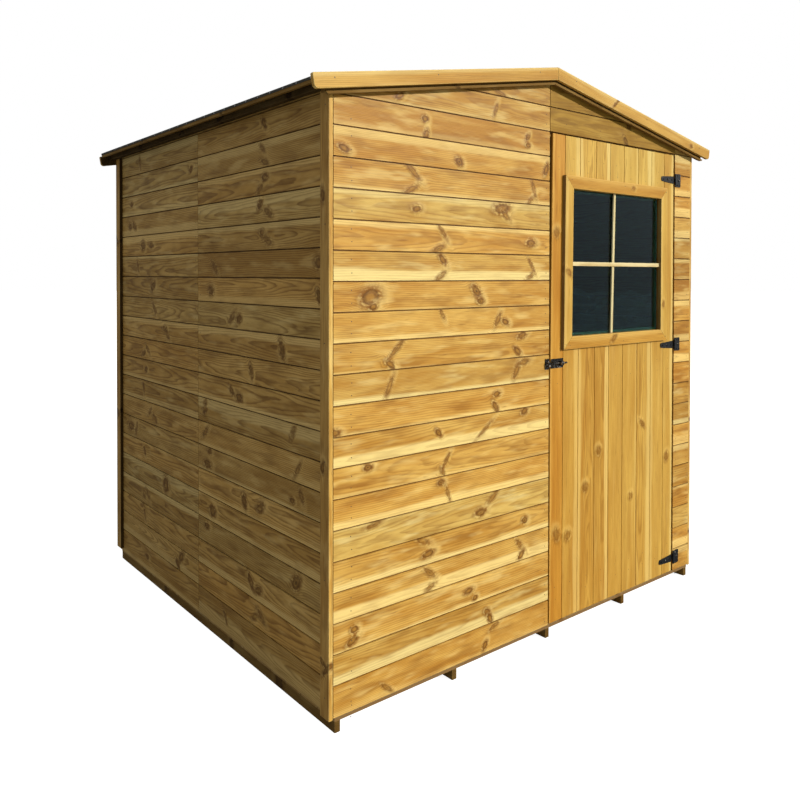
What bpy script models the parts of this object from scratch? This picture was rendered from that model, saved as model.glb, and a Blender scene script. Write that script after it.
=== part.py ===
"""Wooden garden shed, about 1.9 m wide x 1.7 m deep, apex roof, one side-hung door.

Frame: metres, +Z up, the front wall faces -Y, +X to the right when standing in
front of it. The origin is on the ground under the middle of the shed.
"""
import math

import bmesh
import bpy
from mathutils import Vector

for _ob in list(bpy.data.objects):
    bpy.data.objects.remove(_ob, do_unlink=True)

# ---------------------------------------------------------------- dimensions
COURSE = 0.088                  # visible height of one cladding board
GAP = 0.0003                    # clearance between pieces that touch

CLAD_T = 0.012                  # cladding board thickness
HALF_W = 0.9245                 # half width over the side cladding
HALF_D = 0.8655                 # half depth over the front and rear cladding

BEARER_H = 0.0335               # floor bearers
BEARER_W = 0.019
BEARER_X = (-0.9071, -0.4536, 0.0, 0.4536, 0.9071)
BEARER_HALF_L = 0.8630
FLOOR_T = 0.0102                # floor boards
FLOOR_HALF_X = 0.9175
FLOOR_HALF_Y = 0.8650
FLOOR_Z0 = BEARER_H + GAP
FLOOR_Z1 = FLOOR_Z0 + FLOOR_T
WALL_Z0 = FLOOR_Z1 + GAP        # walls stand on the floor

SLOPE = 0.1826                  # rise over run of the roof (10.35 degrees)
DECK_TOP = 2.0230               # roof board surface at the ridge line
DECK_T = 0.0122                 # measured vertically
DECK_BOTTOM = DECK_TOP - DECK_T
DECK_HALF_X = 0.9810
GABLE_TOP = DECK_BOTTOM - 0.0005
SIDE_TOP = GABLE_TOP - SLOPE * HALF_W

VERGE_T = 0.0245                # batten under the roof boards on each gable
VERGE_BOTTOM = 22.38 * COURSE
VERGE_HALF_X = 0.9808           # the left battens are cut shorter
VERGE_HALF_X_LEFT = 0.9650
BARGE_T = 0.0135                # bargeboard
BARGE_H = 0.044                 # measured vertically
BARGE_TOP = 23.04 * COURSE
BARGE_HALF_X = 1.0177
REAR_BARGE_DROP = 0.0160        # the rear bargeboards sit lower and are shorter
REAR_BARGE_HALF_X = 1.0020
VERGE_Y = HALF_D + GAP          # inner face of the verge batten, outside the cladding
BARGE_Y = VERGE_Y + VERGE_T + GAP
ROOF_HALF_Y = VERGE_Y + VERGE_T

FELT_T = 0.0030                 # mineral felt
FASCIA_T = 0.0122               # strip along the eave
FASCIA_H = 0.0160
FASCIA_X0 = DECK_HALF_X + GAP
FASCIA_X1 = FASCIA_X0 + FASCIA_T

FRAME_T = 0.028                 # wall framing, inside the cladding
FRAME_W = 0.044
TRIM_T = 0.014                  # corner trims, on the side walls
TRIM_W = 0.045
TRIM_Z0 = 0.0414
TRIM_Z1 = 1.8360
REAR_TRIM_Z0 = 0.0600
SIDE_SEAM_Y = 0.0233            # where the two panels of a side wall meet
CENTRE_SEAM_X = 0.0013          # where the front panel meets the door bay

DOOR_X0 = 0.0065
DOOR_X1 = 0.7960
DOOR_Z0 = 0.0490
DOOR_Z1 = 1.8022
DOOR_T = 0.012
DOOR_BAY_X1 = 0.8065            # left edge of the strip beside the door
OVER_DOOR_Z0 = DOOR_Z1 + 0.0063

WINDOW_X = 0.3980               # centre of the door window
WINDOW_Z = 1.3440
WINDOW_W = 0.6650               # over the architrave
WINDOW_H = 0.6290
ARCHITRAVE_W = 0.0460
ARCHITRAVE_T = 0.0140
GLASS_T = 0.0040

HINGE_X = 0.8013                # hinge pins
HINGE_Y = -HALF_D - 0.0058
HINGE_Z = (0.1030, 1.0076, 1.6980)
DOOR_OPEN_MAX = math.radians(150.0)
KNUCKLE_R = 0.0045
KNUCKLE_HALF = 0.0080
PLATE_T = 0.0020
STRAP_L = 0.0990
STRAP_ROOT = 0.0152             # half heights of the tapered strap
STRAP_TIP = 0.0095

LATCH_Z = 0.9820                # tower bolt
BOLT_R = 0.0036
BOLT_Y = -HALF_D - GAP - PLATE_T - 0.0055


# ---------------------------------------------------------------- materials
def material(name, colour, roughness, metallic=0.0):
    mat = bpy.data.materials.new(name)
    mat.use_nodes = True
    bsdf = mat.node_tree.nodes["Principled BSDF"]
    bsdf.inputs["Base Color"].default_value = (*colour, 1.0)
    bsdf.inputs["Roughness"].default_value = roughness
    bsdf.inputs["Metallic"].default_value = metallic
    mat.diffuse_color = (*colour, 1.0)
    return mat


PINE = (0.56, 0.31, 0.09)
PINE_PALE = (0.66, 0.42, 0.15)
PINE_GREEN = (0.38, 0.30, 0.12)
FELT = (0.045, 0.047, 0.045)
BLACK = (0.012, 0.012, 0.013)
STEEL = (0.030, 0.030, 0.032)


# ---------------------------------------------------------------- geometry
def add_mesh(name, bm, origin, mat, parent=None):
    """Make an object from a bmesh given in world coordinates, with its own origin."""
    bmesh.ops.recalc_face_normals(bm, faces=bm.faces)
    offset = Vector(origin)
    for v in bm.verts:
        v.co -= offset
    me = bpy.data.meshes.new(name)
    bm.to_mesh(me)
    bm.free()
    ob = bpy.data.objects.new(name, me)
    bpy.context.scene.collection.objects.link(ob)
    if parent is not None:
        ob.parent = parent
        ob.location = offset - parent_origin(parent)
    else:
        ob.location = offset
    ob.data.materials.append(mat)
    return ob


def parent_origin(empty):
    loc = Vector(empty.location)
    while empty.parent is not None:
        empty = empty.parent
        loc += Vector(empty.location)
    return loc


def box(name, x, y, z, mat, parent=None):
    bm = bmesh.new()
    bmesh.ops.create_cube(bm, size=1.0)
    for v in bm.verts:
        v.co.x = x[0] if v.co.x < 0 else x[1]
        v.co.y = y[0] if v.co.y < 0 else y[1]
        v.co.z = z[0] if v.co.z < 0 else z[1]
    centre = ((x[0] + x[1]) / 2, (y[0] + y[1]) / 2, (z[0] + z[1]) / 2)
    return add_mesh(name, bm, centre, mat, parent)


def prism(name, outline, axis, span, mat, parent=None, origin=None):
    """Extrude a closed 2-D outline: (x, z) along Y, (y, z) along X or (x, y) along Z."""
    def place(p, t):
        if axis == "Y":
            return (p[0], t, p[1])
        if axis == "X":
            return (t, p[0], p[1])
        return (p[0], p[1], t)
    bm = bmesh.new()
    low = [bm.verts.new(place(p, span[0])) for p in outline]
    high = [bm.verts.new(place(p, span[1])) for p in outline]
    bm.faces.new(low)
    bm.faces.new(list(reversed(high)))
    n = len(outline)
    for i in range(n):
        j = (i + 1) % n
        bm.faces.new((low[j], low[i], high[i], high[j]))
    bmesh.ops.triangulate(bm, faces=[f for f in bm.faces if len(f.verts) > 4])
    if origin is None:
        cx = sum(p[0] for p in outline) / n
        cy = sum(p[1] for p in outline) / n
        origin = place((cx, cy), (span[0] + span[1]) / 2)
    return add_mesh(name, bm, origin, mat, parent)


def rounded(points, radii, steps=4):
    """Round the corners of an outline, one radius per point."""
    out = []
    n = len(points)
    for i, (p, r) in enumerate(zip(points, radii)):
        p = Vector(p)
        a = (Vector(points[i - 1]) - p).normalized()
        b = (Vector(points[(i + 1) % n]) - p).normalized()
        if r <= 0:
            out.append(tuple(p))
            continue
        half = a.angle(b) / 2
        cut = r / math.tan(half)
        centre = p + (a + b).normalized() * (r / math.sin(half))
        s = p + a * cut - centre
        e = p + b * cut - centre
        total = s.angle(e)
        for k in range(steps + 1):
            t = k / steps
            w = (s * math.sin((1 - t) * total) + e * math.sin(t * total)) / math.sin(total)
            out.append(tuple(centre + w))
    return out


def boolean(target, cutter, operation):
    mod = target.modifiers.new(operation.lower(), "BOOLEAN")
    mod.operation = operation
    mod.object = cutter
    mod.solver = "EXACT"
    cutter.hide_render = True
    cutter.display_type = "WIRE"


def cylinder(name, axis, centre, radius, half, mat, parent=None, sides=20):
    pts = [(radius * math.cos(2 * math.pi * k / sides), radius * math.sin(2 * math.pi * k / sides))
           for k in range(sides)]
    if axis == "Z":
        outline = [(centre[0] + a, centre[1] + b) for a, b in pts]
        span = (centre[2] - half, centre[2] + half)
    elif axis == "X":
        outline = [(centre[1] + a, centre[2] + b) for a, b in pts]
        span = (centre[0] - half, centre[0] + half)
    else:
        outline = [(centre[0] + a, centre[2] + b) for a, b in pts]
        span = (centre[1] - half, centre[1] + half)
    return prism(name, outline, axis, span, mat, parent, origin=centre)


def smooth(ob):
    ob.data.shade_smooth()
    ob.data.set_sharp_from_angle(angle=math.radians(35))


def roof_line(base, x):
    return base - SLOPE * abs(x)


def empty(name, location, parent=None):
    ob = bpy.data.objects.new(name, None)
    ob.empty_display_size = 0.05
    bpy.context.scene.collection.objects.link(ob)
    if parent is not None:
        ob.parent = parent
        ob.location = Vector(location) - parent_origin(parent)
    else:
        ob.location = location
    return ob


# ---------------------------------------------------------------- floor
for i, x in enumerate(BEARER_X, 1):
    box(f"floor_bearer_{i}", (x - BEARER_W / 2, x + BEARER_W / 2),
        (-BEARER_HALF_L, BEARER_HALF_L), (0.0, BEARER_H),
        material(f"bearer_wood_{i}", PINE_GREEN, 0.8))
box("floor_deck", (-FLOOR_HALF_X, FLOOR_HALF_X), (-FLOOR_HALF_Y, FLOOR_HALF_Y),
    (FLOOR_Z0, FLOOR_Z1), material("floor_boards", PINE_PALE, 0.75))

# ---------------------------------------------------------------- wall cladding
FRONT_Y = (-HALF_D, -HALF_D + CLAD_T)
REAR_Y = (HALF_D - CLAD_T, HALF_D)


def gable_panel(name, x0, x1, z0, span, mat):
    outline = [(x0, z0), (x1, z0), (x1, roof_line(GABLE_TOP, x1))]
    if x0 < 0 < x1 and min(-x0, x1) > 0.0001:
        outline.append((0.0, GABLE_TOP))
    outline.append((x0, roof_line(GABLE_TOP, x0)))
    return prism(name, outline, "Y", span, mat)


gable_panel("front_left_panel", -HALF_W, CENTRE_SEAM_X, WALL_Z0, FRONT_Y,
            material("front_cladding", PINE, 0.6))
gable_panel("front_right_strip", DOOR_BAY_X1, HALF_W, WALL_Z0, FRONT_Y,
            material("front_strip_cladding", PINE, 0.6))
gable_panel("over_door_panel", CENTRE_SEAM_X + GAP, DOOR_BAY_X1 - GAP, OVER_DOOR_Z0, FRONT_Y,
            material("over_door_cladding", PINE, 0.6))
gable_panel("rear_wall_left_panel", -HALF_W, -GAP / 2, WALL_Z0, REAR_Y,
            material("rear_cladding_left", PINE_GREEN, 0.65))
gable_panel("rear_wall_right_panel", GAP / 2, HALF_W, WALL_Z0, REAR_Y,
            material("rear_cladding_right", PINE_GREEN, 0.65))
for side, sx in (("left", -1), ("right", 1)):
    xs = sorted((sx * HALF_W, sx * (HALF_W - CLAD_T)))
    box(f"{side}_wall_front_panel", xs, (FRONT_Y[1] + GAP, SIDE_SEAM_Y),
        (WALL_Z0, SIDE_TOP), material(f"{side}_front_cladding", PINE_GREEN, 0.65))
    box(f"{side}_wall_rear_panel", xs, (SIDE_SEAM_Y + GAP, REAR_Y[0] - GAP),
        (WALL_Z0, SIDE_TOP), material(f"{side}_rear_cladding", PINE_GREEN, 0.65))

# corner trims, nailed to the side walls, edges flush with the gable faces
for side, sx in (("left", -1), ("right", 1)):
    xs = sorted((sx * (HALF_W + GAP), sx * (HALF_W + TRIM_T)))
    box(f"front_{side}_trim", xs, (-HALF_D, -HALF_D + TRIM_W), (TRIM_Z0, TRIM_Z1),
        material(f"front_{side}_trim_wood", PINE_GREEN, 0.65))
    box(f"rear_{side}_trim", xs, (HALF_D - TRIM_W, HALF_D), (REAR_TRIM_Z0, TRIM_Z1),
        material(f"rear_{side}_trim_wood", PINE_GREEN, 0.65))

# ---------------------------------------------------------------- wall framing
FRAME_X1 = HALF_W - CLAD_T - GAP
FRAME_X0 = FRAME_X1 - FRAME_T
FRAME_Y1 = HALF_D - CLAD_T - GAP
PLATE_Z0 = roof_line(GABLE_TOP, FRAME_X1) - FRAME_W
for side, sx in (("left", -1), ("right", 1)):
    xs = sorted((sx * FRAME_X0, sx * FRAME_X1))
    prism(f"{side}_wall_plate",
          [(sx * FRAME_X0, PLATE_Z0), (sx * FRAME_X1, PLATE_Z0),
           (sx * FRAME_X1, roof_line(GABLE_TOP, FRAME_X1)),
           (sx * FRAME_X0, roof_line(GABLE_TOP, FRAME_X0))],
          "Y", (-FRAME_Y1, FRAME_Y1), material(f"{side}_plate_wood", PINE_PALE, 0.75))
    box(f"front_{side}_post", xs, (-FRAME_Y1, -FRAME_Y1 + FRAME_W), (WALL_Z0, PLATE_Z0 - GAP),
        material(f"front_{side}_post_wood", PINE_PALE, 0.75))
    box(f"rear_{side}_post", xs, (FRAME_Y1 - FRAME_W, FRAME_Y1), (WALL_Z0, PLATE_Z0 - GAP),
        material(f"rear_{side}_post_wood", PINE_PALE, 0.75))
FRAME_FRONT_Y = (-FRAME_Y1, -FRAME_Y1 + FRAME_T)
box("latch_jamb", (CENTRE_SEAM_X - FRAME_W, CENTRE_SEAM_X), FRAME_FRONT_Y, (WALL_Z0, 1.9000),
    material("latch_jamb_wood", PINE_PALE, 0.75))
box("hinge_jamb", (DOOR_BAY_X1, DOOR_BAY_X1 + FRAME_W), FRAME_FRONT_Y, (WALL_Z0, 1.8520),
    material("hinge_jamb_wood", PINE_PALE, 0.75))
box("door_head", (CENTRE_SEAM_X + GAP, DOOR_BAY_X1 - GAP), FRAME_FRONT_Y,
    (OVER_DOOR_Z0, OVER_DOOR_Z0 + FRAME_W), material("door_head_wood", PINE_PALE, 0.75))

# ---------------------------------------------------------------- roof
RIDGE_HALF = 0.0175
prism("ridge_beam",
      [(-RIDGE_HALF, 1.9370), (RIDGE_HALF, 1.9370), (RIDGE_HALF, roof_line(GABLE_TOP, RIDGE_HALF)),
       (0.0, GABLE_TOP), (-RIDGE_HALF, roof_line(GABLE_TOP, RIDGE_HALF))],
      "Y", (-FRAME_Y1 + FRAME_T + GAP, FRAME_Y1), material("ridge_wood", PINE_PALE, 0.75))

for side, sx in (("left", -1), ("right", 1)):
    x0, x1 = sx * GAP / 2, sx * DECK_HALF_X
    prism(f"{side}_roof_panel",
          [(x0, roof_line(DECK_BOTTOM, x0)), (x1, roof_line(DECK_BOTTOM, x1)),
           (x1, roof_line(DECK_TOP, x1)), (x0, roof_line(DECK_TOP, x0))],
          "Y", (-ROOF_HALF_Y, ROOF_HALF_Y), material(f"{side}_roof_boards", PINE_PALE, 0.75))
    xs = sorted((sx * FASCIA_X0, sx * FASCIA_X1))
    top = roof_line(DECK_TOP, FASCIA_X1)
    box(f"{side}_eave_strip", xs, (-ROOF_HALF_Y, ROOF_HALF_Y), (top - FASCIA_H, top),
        material(f"{side}_eave_wood", PINE_GREEN, 0.7))
    for end, sy in (("front", -1), ("rear", 1)):
        # verge batten between the gable cladding and the bargeboard
        vx = sx * (VERGE_HALF_X if sx > 0 else VERGE_HALF_X_LEFT)
        prism(f"{end}_{side}_verge_batten",
              rounded([(x0, roof_line(VERGE_BOTTOM, x0)), (vx, roof_line(VERGE_BOTTOM, vx)),
                       (vx, roof_line(GABLE_TOP, vx)), (x0, roof_line(GABLE_TOP, x0))],
                      (0, 0.012, 0, 0)),
              "Y", sorted((sy * VERGE_Y, sy * (VERGE_Y + VERGE_T))),
              material(f"{end}_{side}_verge_wood", PINE_GREEN, 0.7))
        # bargeboard, square-cut at the eave with a rounded lower corner
        half_x, top_z = ((BARGE_HALF_X, BARGE_TOP) if sy < 0
                         else (REAR_BARGE_HALF_X, BARGE_TOP - REAR_BARGE_DROP))
        bx = sx * half_x
        lean = SLOPE * BARGE_H / (1 + SLOPE * SLOPE)
        bx_low = bx - sx * lean
        prism(f"{end}_{side}_bargeboard",
              rounded([(x0, roof_line(top_z, x0) - BARGE_H),
                       (bx_low, roof_line(top_z, bx_low) - BARGE_H),
                       (bx, roof_line(top_z, bx)), (x0, roof_line(top_z, x0))],
                      (0, 0.013, 0.005, 0)),
              "Y", sorted((sy * BARGE_Y, sy * (BARGE_Y + BARGE_T))),
              material(f"{end}_{side}_barge_wood", PINE, 0.6))

# felt over both slopes, turned down over the eave strips
FELT_BASE = DECK_TOP + GAP
FELT_X = FASCIA_X1 + GAP
lip_z = roof_line(DECK_TOP, FASCIA_X1) - 0.007
half = [(FELT_X, lip_z), (FELT_X + FELT_T, lip_z),
        (FELT_X + FELT_T, roof_line(FELT_BASE + FELT_T, FELT_X + FELT_T)),
        (0.0, FELT_BASE + FELT_T)]
under = [(0.0, FELT_BASE), (FELT_X, roof_line(FELT_BASE, FELT_X))]
outline = half + [(-x, z) for x, z in reversed(half[:-1])] + [(-under[1][0], under[1][1]), under[0], under[1]]
prism("roof_felt", outline, "Y", (-ROOF_HALF_Y, ROOF_HALF_Y), material("mineral_felt", FELT, 0.95),
      origin=(0.0, 0.0, FELT_BASE))

# ---------------------------------------------------------------- door
door_pivot = empty("door_pivot", (HINGE_X, HINGE_Y, 0.0))
FACE = -HALF_D                                    # door face, flush with the cladding

hole_w = WINDOW_W - 2 * ARCHITRAVE_W
hole_h = WINDOW_H - 2 * ARCHITRAVE_W


def framed(name, outer, inner, y, mat, parent):
    """A flat rectangular ring: outer and inner are (x0, x1, z0, z1)."""
    bm = bmesh.new()
    rings = []
    for (x0, x1, z0, z1) in (outer, inner):
        for t in y:
            rings.append([bm.verts.new((px, t, pz)) for px, pz in
                          ((x0, z0), (x1, z0), (x1, z1), (x0, z1))])
    o0, o1, i0, i1 = rings
    for k in range(4):
        j = (k + 1) % 4
        bm.faces.new((o0[k], o0[j], i0[j], i0[k]))
        bm.faces.new((o1[j], o1[k], i1[k], i1[j]))
        bm.faces.new((o0[j], o0[k], o1[k], o1[j]))
        bm.faces.new((i0[k], i0[j], i1[j], i1[k]))
    centre = ((outer[0] + outer[1]) / 2, (y[0] + y[1]) / 2, (outer[2] + outer[3]) / 2)
    return add_mesh(name, bm, centre, mat, parent)


hole = (WINDOW_X - hole_w / 2, WINDOW_X + hole_w / 2, WINDOW_Z - hole_h / 2, WINDOW_Z + hole_h / 2)
framed("door_leaf", (DOOR_X0, DOOR_X1, DOOR_Z0, DOOR_Z1), hole, (FACE, FACE + DOOR_T),
       material("door_boards", PINE, 0.55), door_pivot)
framed("door_window_frame",
       (WINDOW_X - WINDOW_W / 2, WINDOW_X + WINDOW_W / 2, WINDOW_Z - WINDOW_H / 2, WINDOW_Z + WINDOW_H / 2),
       hole, (FACE - GAP - ARCHITRAVE_T, FACE - GAP), material("window_frame_wood", PINE, 0.5), door_pivot)
box("door_window_glass", (hole[0] + GAP, hole[1] - GAP), (FACE + 0.0065, FACE + 0.0065 + GLASS_T),
    (hole[2] + GAP, hole[3] - GAP), material("window_glass", (0.02, 0.025, 0.03), 0.08), door_pivot)

# T-hinges: a tapered strap on the door, an upright plate on the strip beside it
for i, z in enumerate(HINGE_Z):
    label = ("bottom", "middle", "top")[i]
    strap_mat = material(f"{label}_strap_metal", BLACK, 0.4, 0.6)
    tip = HINGE_X - STRAP_L
    neck = KNUCKLE_HALF - 0.0005
    outline = rounded([(HINGE_X - 0.0010, z - neck), (HINGE_X - 0.0010, z + neck),
                       (HINGE_X - 0.0066, z + neck), (HINGE_X - 0.0074, z + STRAP_ROOT),
                       (HINGE_X - 0.0120, z + STRAP_ROOT),
                       (tip, z + STRAP_TIP), (tip, z - STRAP_TIP),
                       (HINGE_X - 0.0120, z - STRAP_ROOT),
                       (HINGE_X - 0.0074, z - STRAP_ROOT), (HINGE_X - 0.0066, z - neck)],
                      (0, 0, 0, 0, 0, 0.0084, 0.0084, 0, 0, 0))
    strap = prism(f"{label}_hinge_strap", outline, "Y", (FACE - GAP - PLATE_T, FACE - GAP), strap_mat,
                  door_pivot, origin=(HINGE_X, HINGE_Y, z))
    knuckle = cylinder(f"{label}_strap_knuckle_tool", "Z", (HINGE_X, HINGE_Y, z), KNUCKLE_R,
                       KNUCKLE_HALF, strap_mat, door_pivot)
    boolean(strap, knuckle, "UNION")

    plate_mat = material(f"{label}_plate_metal", BLACK, 0.4, 0.6)
    px0, px1 = HINGE_X + 0.0062, HINGE_X + 0.0447
    outline = rounded([(px0, z - 0.0275), (px1, z - 0.0275), (px1, z + 0.0275), (px0, z + 0.0275)],
                      (0, 0.003, 0.003, 0))
    plate = prism(f"{label}_hinge_plate", outline, "Y", (FACE - GAP - PLATE_T, FACE - GAP), plate_mat,
                  origin=(HINGE_X, HINGE_Y, z))
    for part, sz in (("upper", 1), ("lower", -1)):
        zc = z + sz * (KNUCKLE_HALF + GAP + 0.0060)
        tab = box(f"{label}_{part}_tab_tool", (HINGE_X + 0.0008, HINGE_X + 0.0100),
                  (FACE - GAP - PLATE_T + 0.0001, FACE - GAP - 0.0001), (zc - 0.0055, zc + 0.0055), plate_mat)
        knuckle = cylinder(f"{label}_{part}_knuckle_tool", "Z", (HINGE_X, HINGE_Y, zc), KNUCKLE_R,
                           0.0060, plate_mat)
        boolean(plate, tab, "UNION")
        boolean(plate, knuckle, "UNION")
    for ob in (strap, plate):
        smooth(ob)

# tower bolt: guide plate on the door, keeper on the panel, sliding bolt
LATCH_X = (0.0085, 0.0765)
plate_y = (FACE - GAP - PLATE_T, FACE - GAP)
latch = box("latch_plate", LATCH_X, plate_y, (LATCH_Z - 0.0170, LATCH_Z + 0.0170),
            material("latch_plate_metal", STEEL, 0.35, 0.9), door_pivot)
keeper = box("latch_keeper", (-0.0220, -0.0020), plate_y, (LATCH_Z - 0.0190, LATCH_Z + 0.0190),
             material("latch_keeper_metal", STEEL, 0.35, 0.9))
for target, name, x0, x1, parent in (
        (latch, "guide_a_tool", 0.0100, 0.0200, door_pivot),
        (latch, "guide_b_tool", 0.0560, 0.0660, door_pivot),
        (keeper, "keeper_loop_tool", -0.0180, -0.0060, None)):
    guide = box(name, (x0, x1), (BOLT_Y - 0.0065, plate_y[1] - 0.0005), (LATCH_Z - 0.0080, LATCH_Z + 0.0080),
                target.data.materials[0], parent)
    boolean(target, guide, "UNION")
bore = cylinder("guide_bore_tool", "X", (0.0380, BOLT_Y, LATCH_Z), 0.0045, 0.034,
                latch.data.materials[0], door_pivot, 24)
boolean(latch, bore, "DIFFERENCE")
bore = cylinder("keeper_bore_tool", "X", (-0.0120, BOLT_Y, LATCH_Z), 0.0047, 0.020,
                keeper.data.materials[0], None, 24)
boolean(keeper, bore, "DIFFERENCE")

bolt_slide = empty("bolt_slide", (0.0470, BOLT_Y, LATCH_Z), door_pivot)
bolt_mat = material("latch_bolt_metal", STEEL, 0.3, 0.9)
bolt = cylinder("latch_bolt", "X", (0.0470, BOLT_Y, LATCH_Z), BOLT_R, 0.0430, bolt_mat, bolt_slide, 24)
knob = cylinder("bolt_knob_tool", "Y", (0.0460, BOLT_Y - 0.0085, LATCH_Z), 0.0030, 0.0085, bolt_mat,
                bolt_slide, 20)
boolean(bolt, knob, "UNION")
for ob in (latch, keeper, bolt):
    smooth(ob)
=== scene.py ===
"""Looks of the wooden garden shed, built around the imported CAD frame.

Every timber is its own board, with tongue, groove and chamfers where it is cladding.
Each mesh corner carries where it lies in its own board (along, across and into the
grain, and relative to the nearest knots), and one procedural pine material reads that.
"""
import math
import random

import bmesh
import bpy
from mathutils import Matrix, Vector


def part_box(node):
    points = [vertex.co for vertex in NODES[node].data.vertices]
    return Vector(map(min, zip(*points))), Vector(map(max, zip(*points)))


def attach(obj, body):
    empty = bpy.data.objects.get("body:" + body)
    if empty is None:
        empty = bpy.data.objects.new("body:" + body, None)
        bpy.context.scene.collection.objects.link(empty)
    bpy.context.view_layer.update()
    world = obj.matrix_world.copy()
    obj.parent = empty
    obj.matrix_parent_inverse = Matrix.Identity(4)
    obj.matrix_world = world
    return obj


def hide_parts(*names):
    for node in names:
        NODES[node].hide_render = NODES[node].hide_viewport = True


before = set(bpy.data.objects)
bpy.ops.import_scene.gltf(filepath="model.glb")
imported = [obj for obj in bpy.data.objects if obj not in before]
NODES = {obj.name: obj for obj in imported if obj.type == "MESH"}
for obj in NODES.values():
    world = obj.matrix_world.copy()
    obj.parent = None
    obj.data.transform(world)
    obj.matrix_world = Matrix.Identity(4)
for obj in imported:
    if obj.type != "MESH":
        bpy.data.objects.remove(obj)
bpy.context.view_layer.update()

# ---------------------------------------------------------------- shared sizes
COURSE = 0.088
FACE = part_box("front_left_panel")[0].y            # front face of the front cladding
BACK = -FACE
CLAD_T = 0.012
WALL_Z0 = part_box("front_left_panel")[0].z
HALF_W = -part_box("front_left_panel")[0].x
SEAM_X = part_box("front_left_panel")[1].x          # front panel meets the door bay
GABLE_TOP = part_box("front_left_panel")[1].z
SLOPE = 0.1826
SIDE_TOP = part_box("left_wall_front_panel")[1].z
SIDE_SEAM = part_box("left_wall_front_panel")[1].y
FRONT_LINE = 0.0481                               # a joint line of the front courses
SIDE_LINE = 0.0570                                # and of the side courses
X, Y, Z = Vector((1, 0, 0)), Vector((0, 1, 0)), Vector((0, 0, 1))
NORM = math.hypot(1.0, SLOPE)
DOWN_R = Vector((1, 0, -SLOPE)) / NORM            # down the right slope
DOWN_L = Vector((-1, 0, -SLOPE)) / NORM
UP_R = Vector((SLOPE, 0, 1)) / NORM               # roof normals
UP_L = Vector((-SLOPE, 0, 1)) / NORM


# ---------------------------------------------------------------- material nodes
class Shader:
    """Small helpers to write a node tree as expressions."""

    def __init__(self, name):
        self.mat = bpy.data.materials.new(name)
        self.mat.use_nodes = True
        self.tree = self.mat.node_tree
        self.tree.nodes.clear()
        out = self.tree.nodes.new("ShaderNodeOutputMaterial")
        self.bsdf = self.tree.nodes.new("ShaderNodeBsdfPrincipled")
        self.tree.links.new(self.bsdf.outputs[0], out.inputs[0])

    def put(self, socket, value):
        if isinstance(value, bpy.types.NodeSocket):
            self.tree.links.new(value, socket)
        elif isinstance(value, tuple) and len(value) == 3 and socket.type == "RGBA":
            socket.default_value = (*value, 1.0)
        else:
            socket.default_value = value

    def m(self, op, a, b=None, c=None, clamp=False):
        n = self.tree.nodes.new("ShaderNodeMath")
        n.operation, n.use_clamp = op, clamp
        for s, v in zip(n.inputs, (a, b, c)):
            if v is not None:
                self.put(s, v)
        return n.outputs[0]

    def add(self, a, b):
        return self.m("ADD", a, b)

    def mul(self, a, b):
        return self.m("MULTIPLY", a, b)

    def sub(self, a, b):
        return self.m("SUBTRACT", a, b)

    def mad(self, a, b, c):
        return self.m("MULTIPLY_ADD", a, b, c)

    def vec(self, x, y, z):
        n = self.tree.nodes.new("ShaderNodeCombineXYZ")
        for s, v in zip(n.inputs, (x, y, z)):
            self.put(s, v)
        return n.outputs[0]

    def split(self, v):
        n = self.tree.nodes.new("ShaderNodeSeparateXYZ")
        self.put(n.inputs[0], v)
        return n.outputs[0], n.outputs[1], n.outputs[2]

    def attr(self, name):
        n = self.tree.nodes.new("ShaderNodeAttribute")
        n.attribute_name = name
        return n.outputs["Vector"]

    def coords(self, kind="Object"):
        return self.tree.nodes.new("ShaderNodeTexCoord").outputs[kind]

    def scale(self, v, s):
        n = self.tree.nodes.new("ShaderNodeVectorMath")
        n.operation = "MULTIPLY"
        self.put(n.inputs[0], v)
        self.put(n.inputs[1], s)
        return n.outputs[0]

    def noise(self, v, detail=2.0, rough=0.5, scale=1.0, distortion=0.0):
        n = self.tree.nodes.new("ShaderNodeTexNoise")
        self.put(n.inputs["Vector"], v)
        n.inputs["Scale"].default_value = scale
        n.inputs["Detail"].default_value = detail
        n.inputs["Roughness"].default_value = rough
        n.inputs["Distortion"].default_value = distortion
        return n.outputs[0], n.outputs[1]

    def voronoi(self, v, scale=1.0, feature="F1"):
        n = self.tree.nodes.new("ShaderNodeTexVoronoi")
        n.feature = feature
        self.put(n.inputs["Vector"], v)
        n.inputs["Scale"].default_value = scale
        return n.outputs[0], n.outputs[1]

    def step(self, x, lo, hi, a=0.0, b=1.0):
        n = self.tree.nodes.new("ShaderNodeMapRange")
        n.interpolation_type = "SMOOTHSTEP"
        self.put(n.inputs["Value"], x)
        self.put(n.inputs["From Min"], lo)
        self.put(n.inputs["From Max"], hi)
        self.put(n.inputs["To Min"], a)
        self.put(n.inputs["To Max"], b)
        return n.outputs[0]

    def mix(self, fac, a, b, blend="MIX"):
        n = self.tree.nodes.new("ShaderNodeMix")
        n.data_type, n.blend_type = "RGBA", blend
        self.put(n.inputs[0], fac)
        self.put(n.inputs[6], a)
        self.put(n.inputs[7], b)
        return n.outputs[2]

    def grey(self, value):
        return self.vec(value, value, value)

    def bump(self, height, distance, strength=1.0):
        n = self.tree.nodes.new("ShaderNodeBump")
        n.inputs["Strength"].default_value = strength
        n.inputs["Distance"].default_value = distance
        self.put(n.inputs["Height"], height)
        return n.outputs["Normal"]


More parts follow.
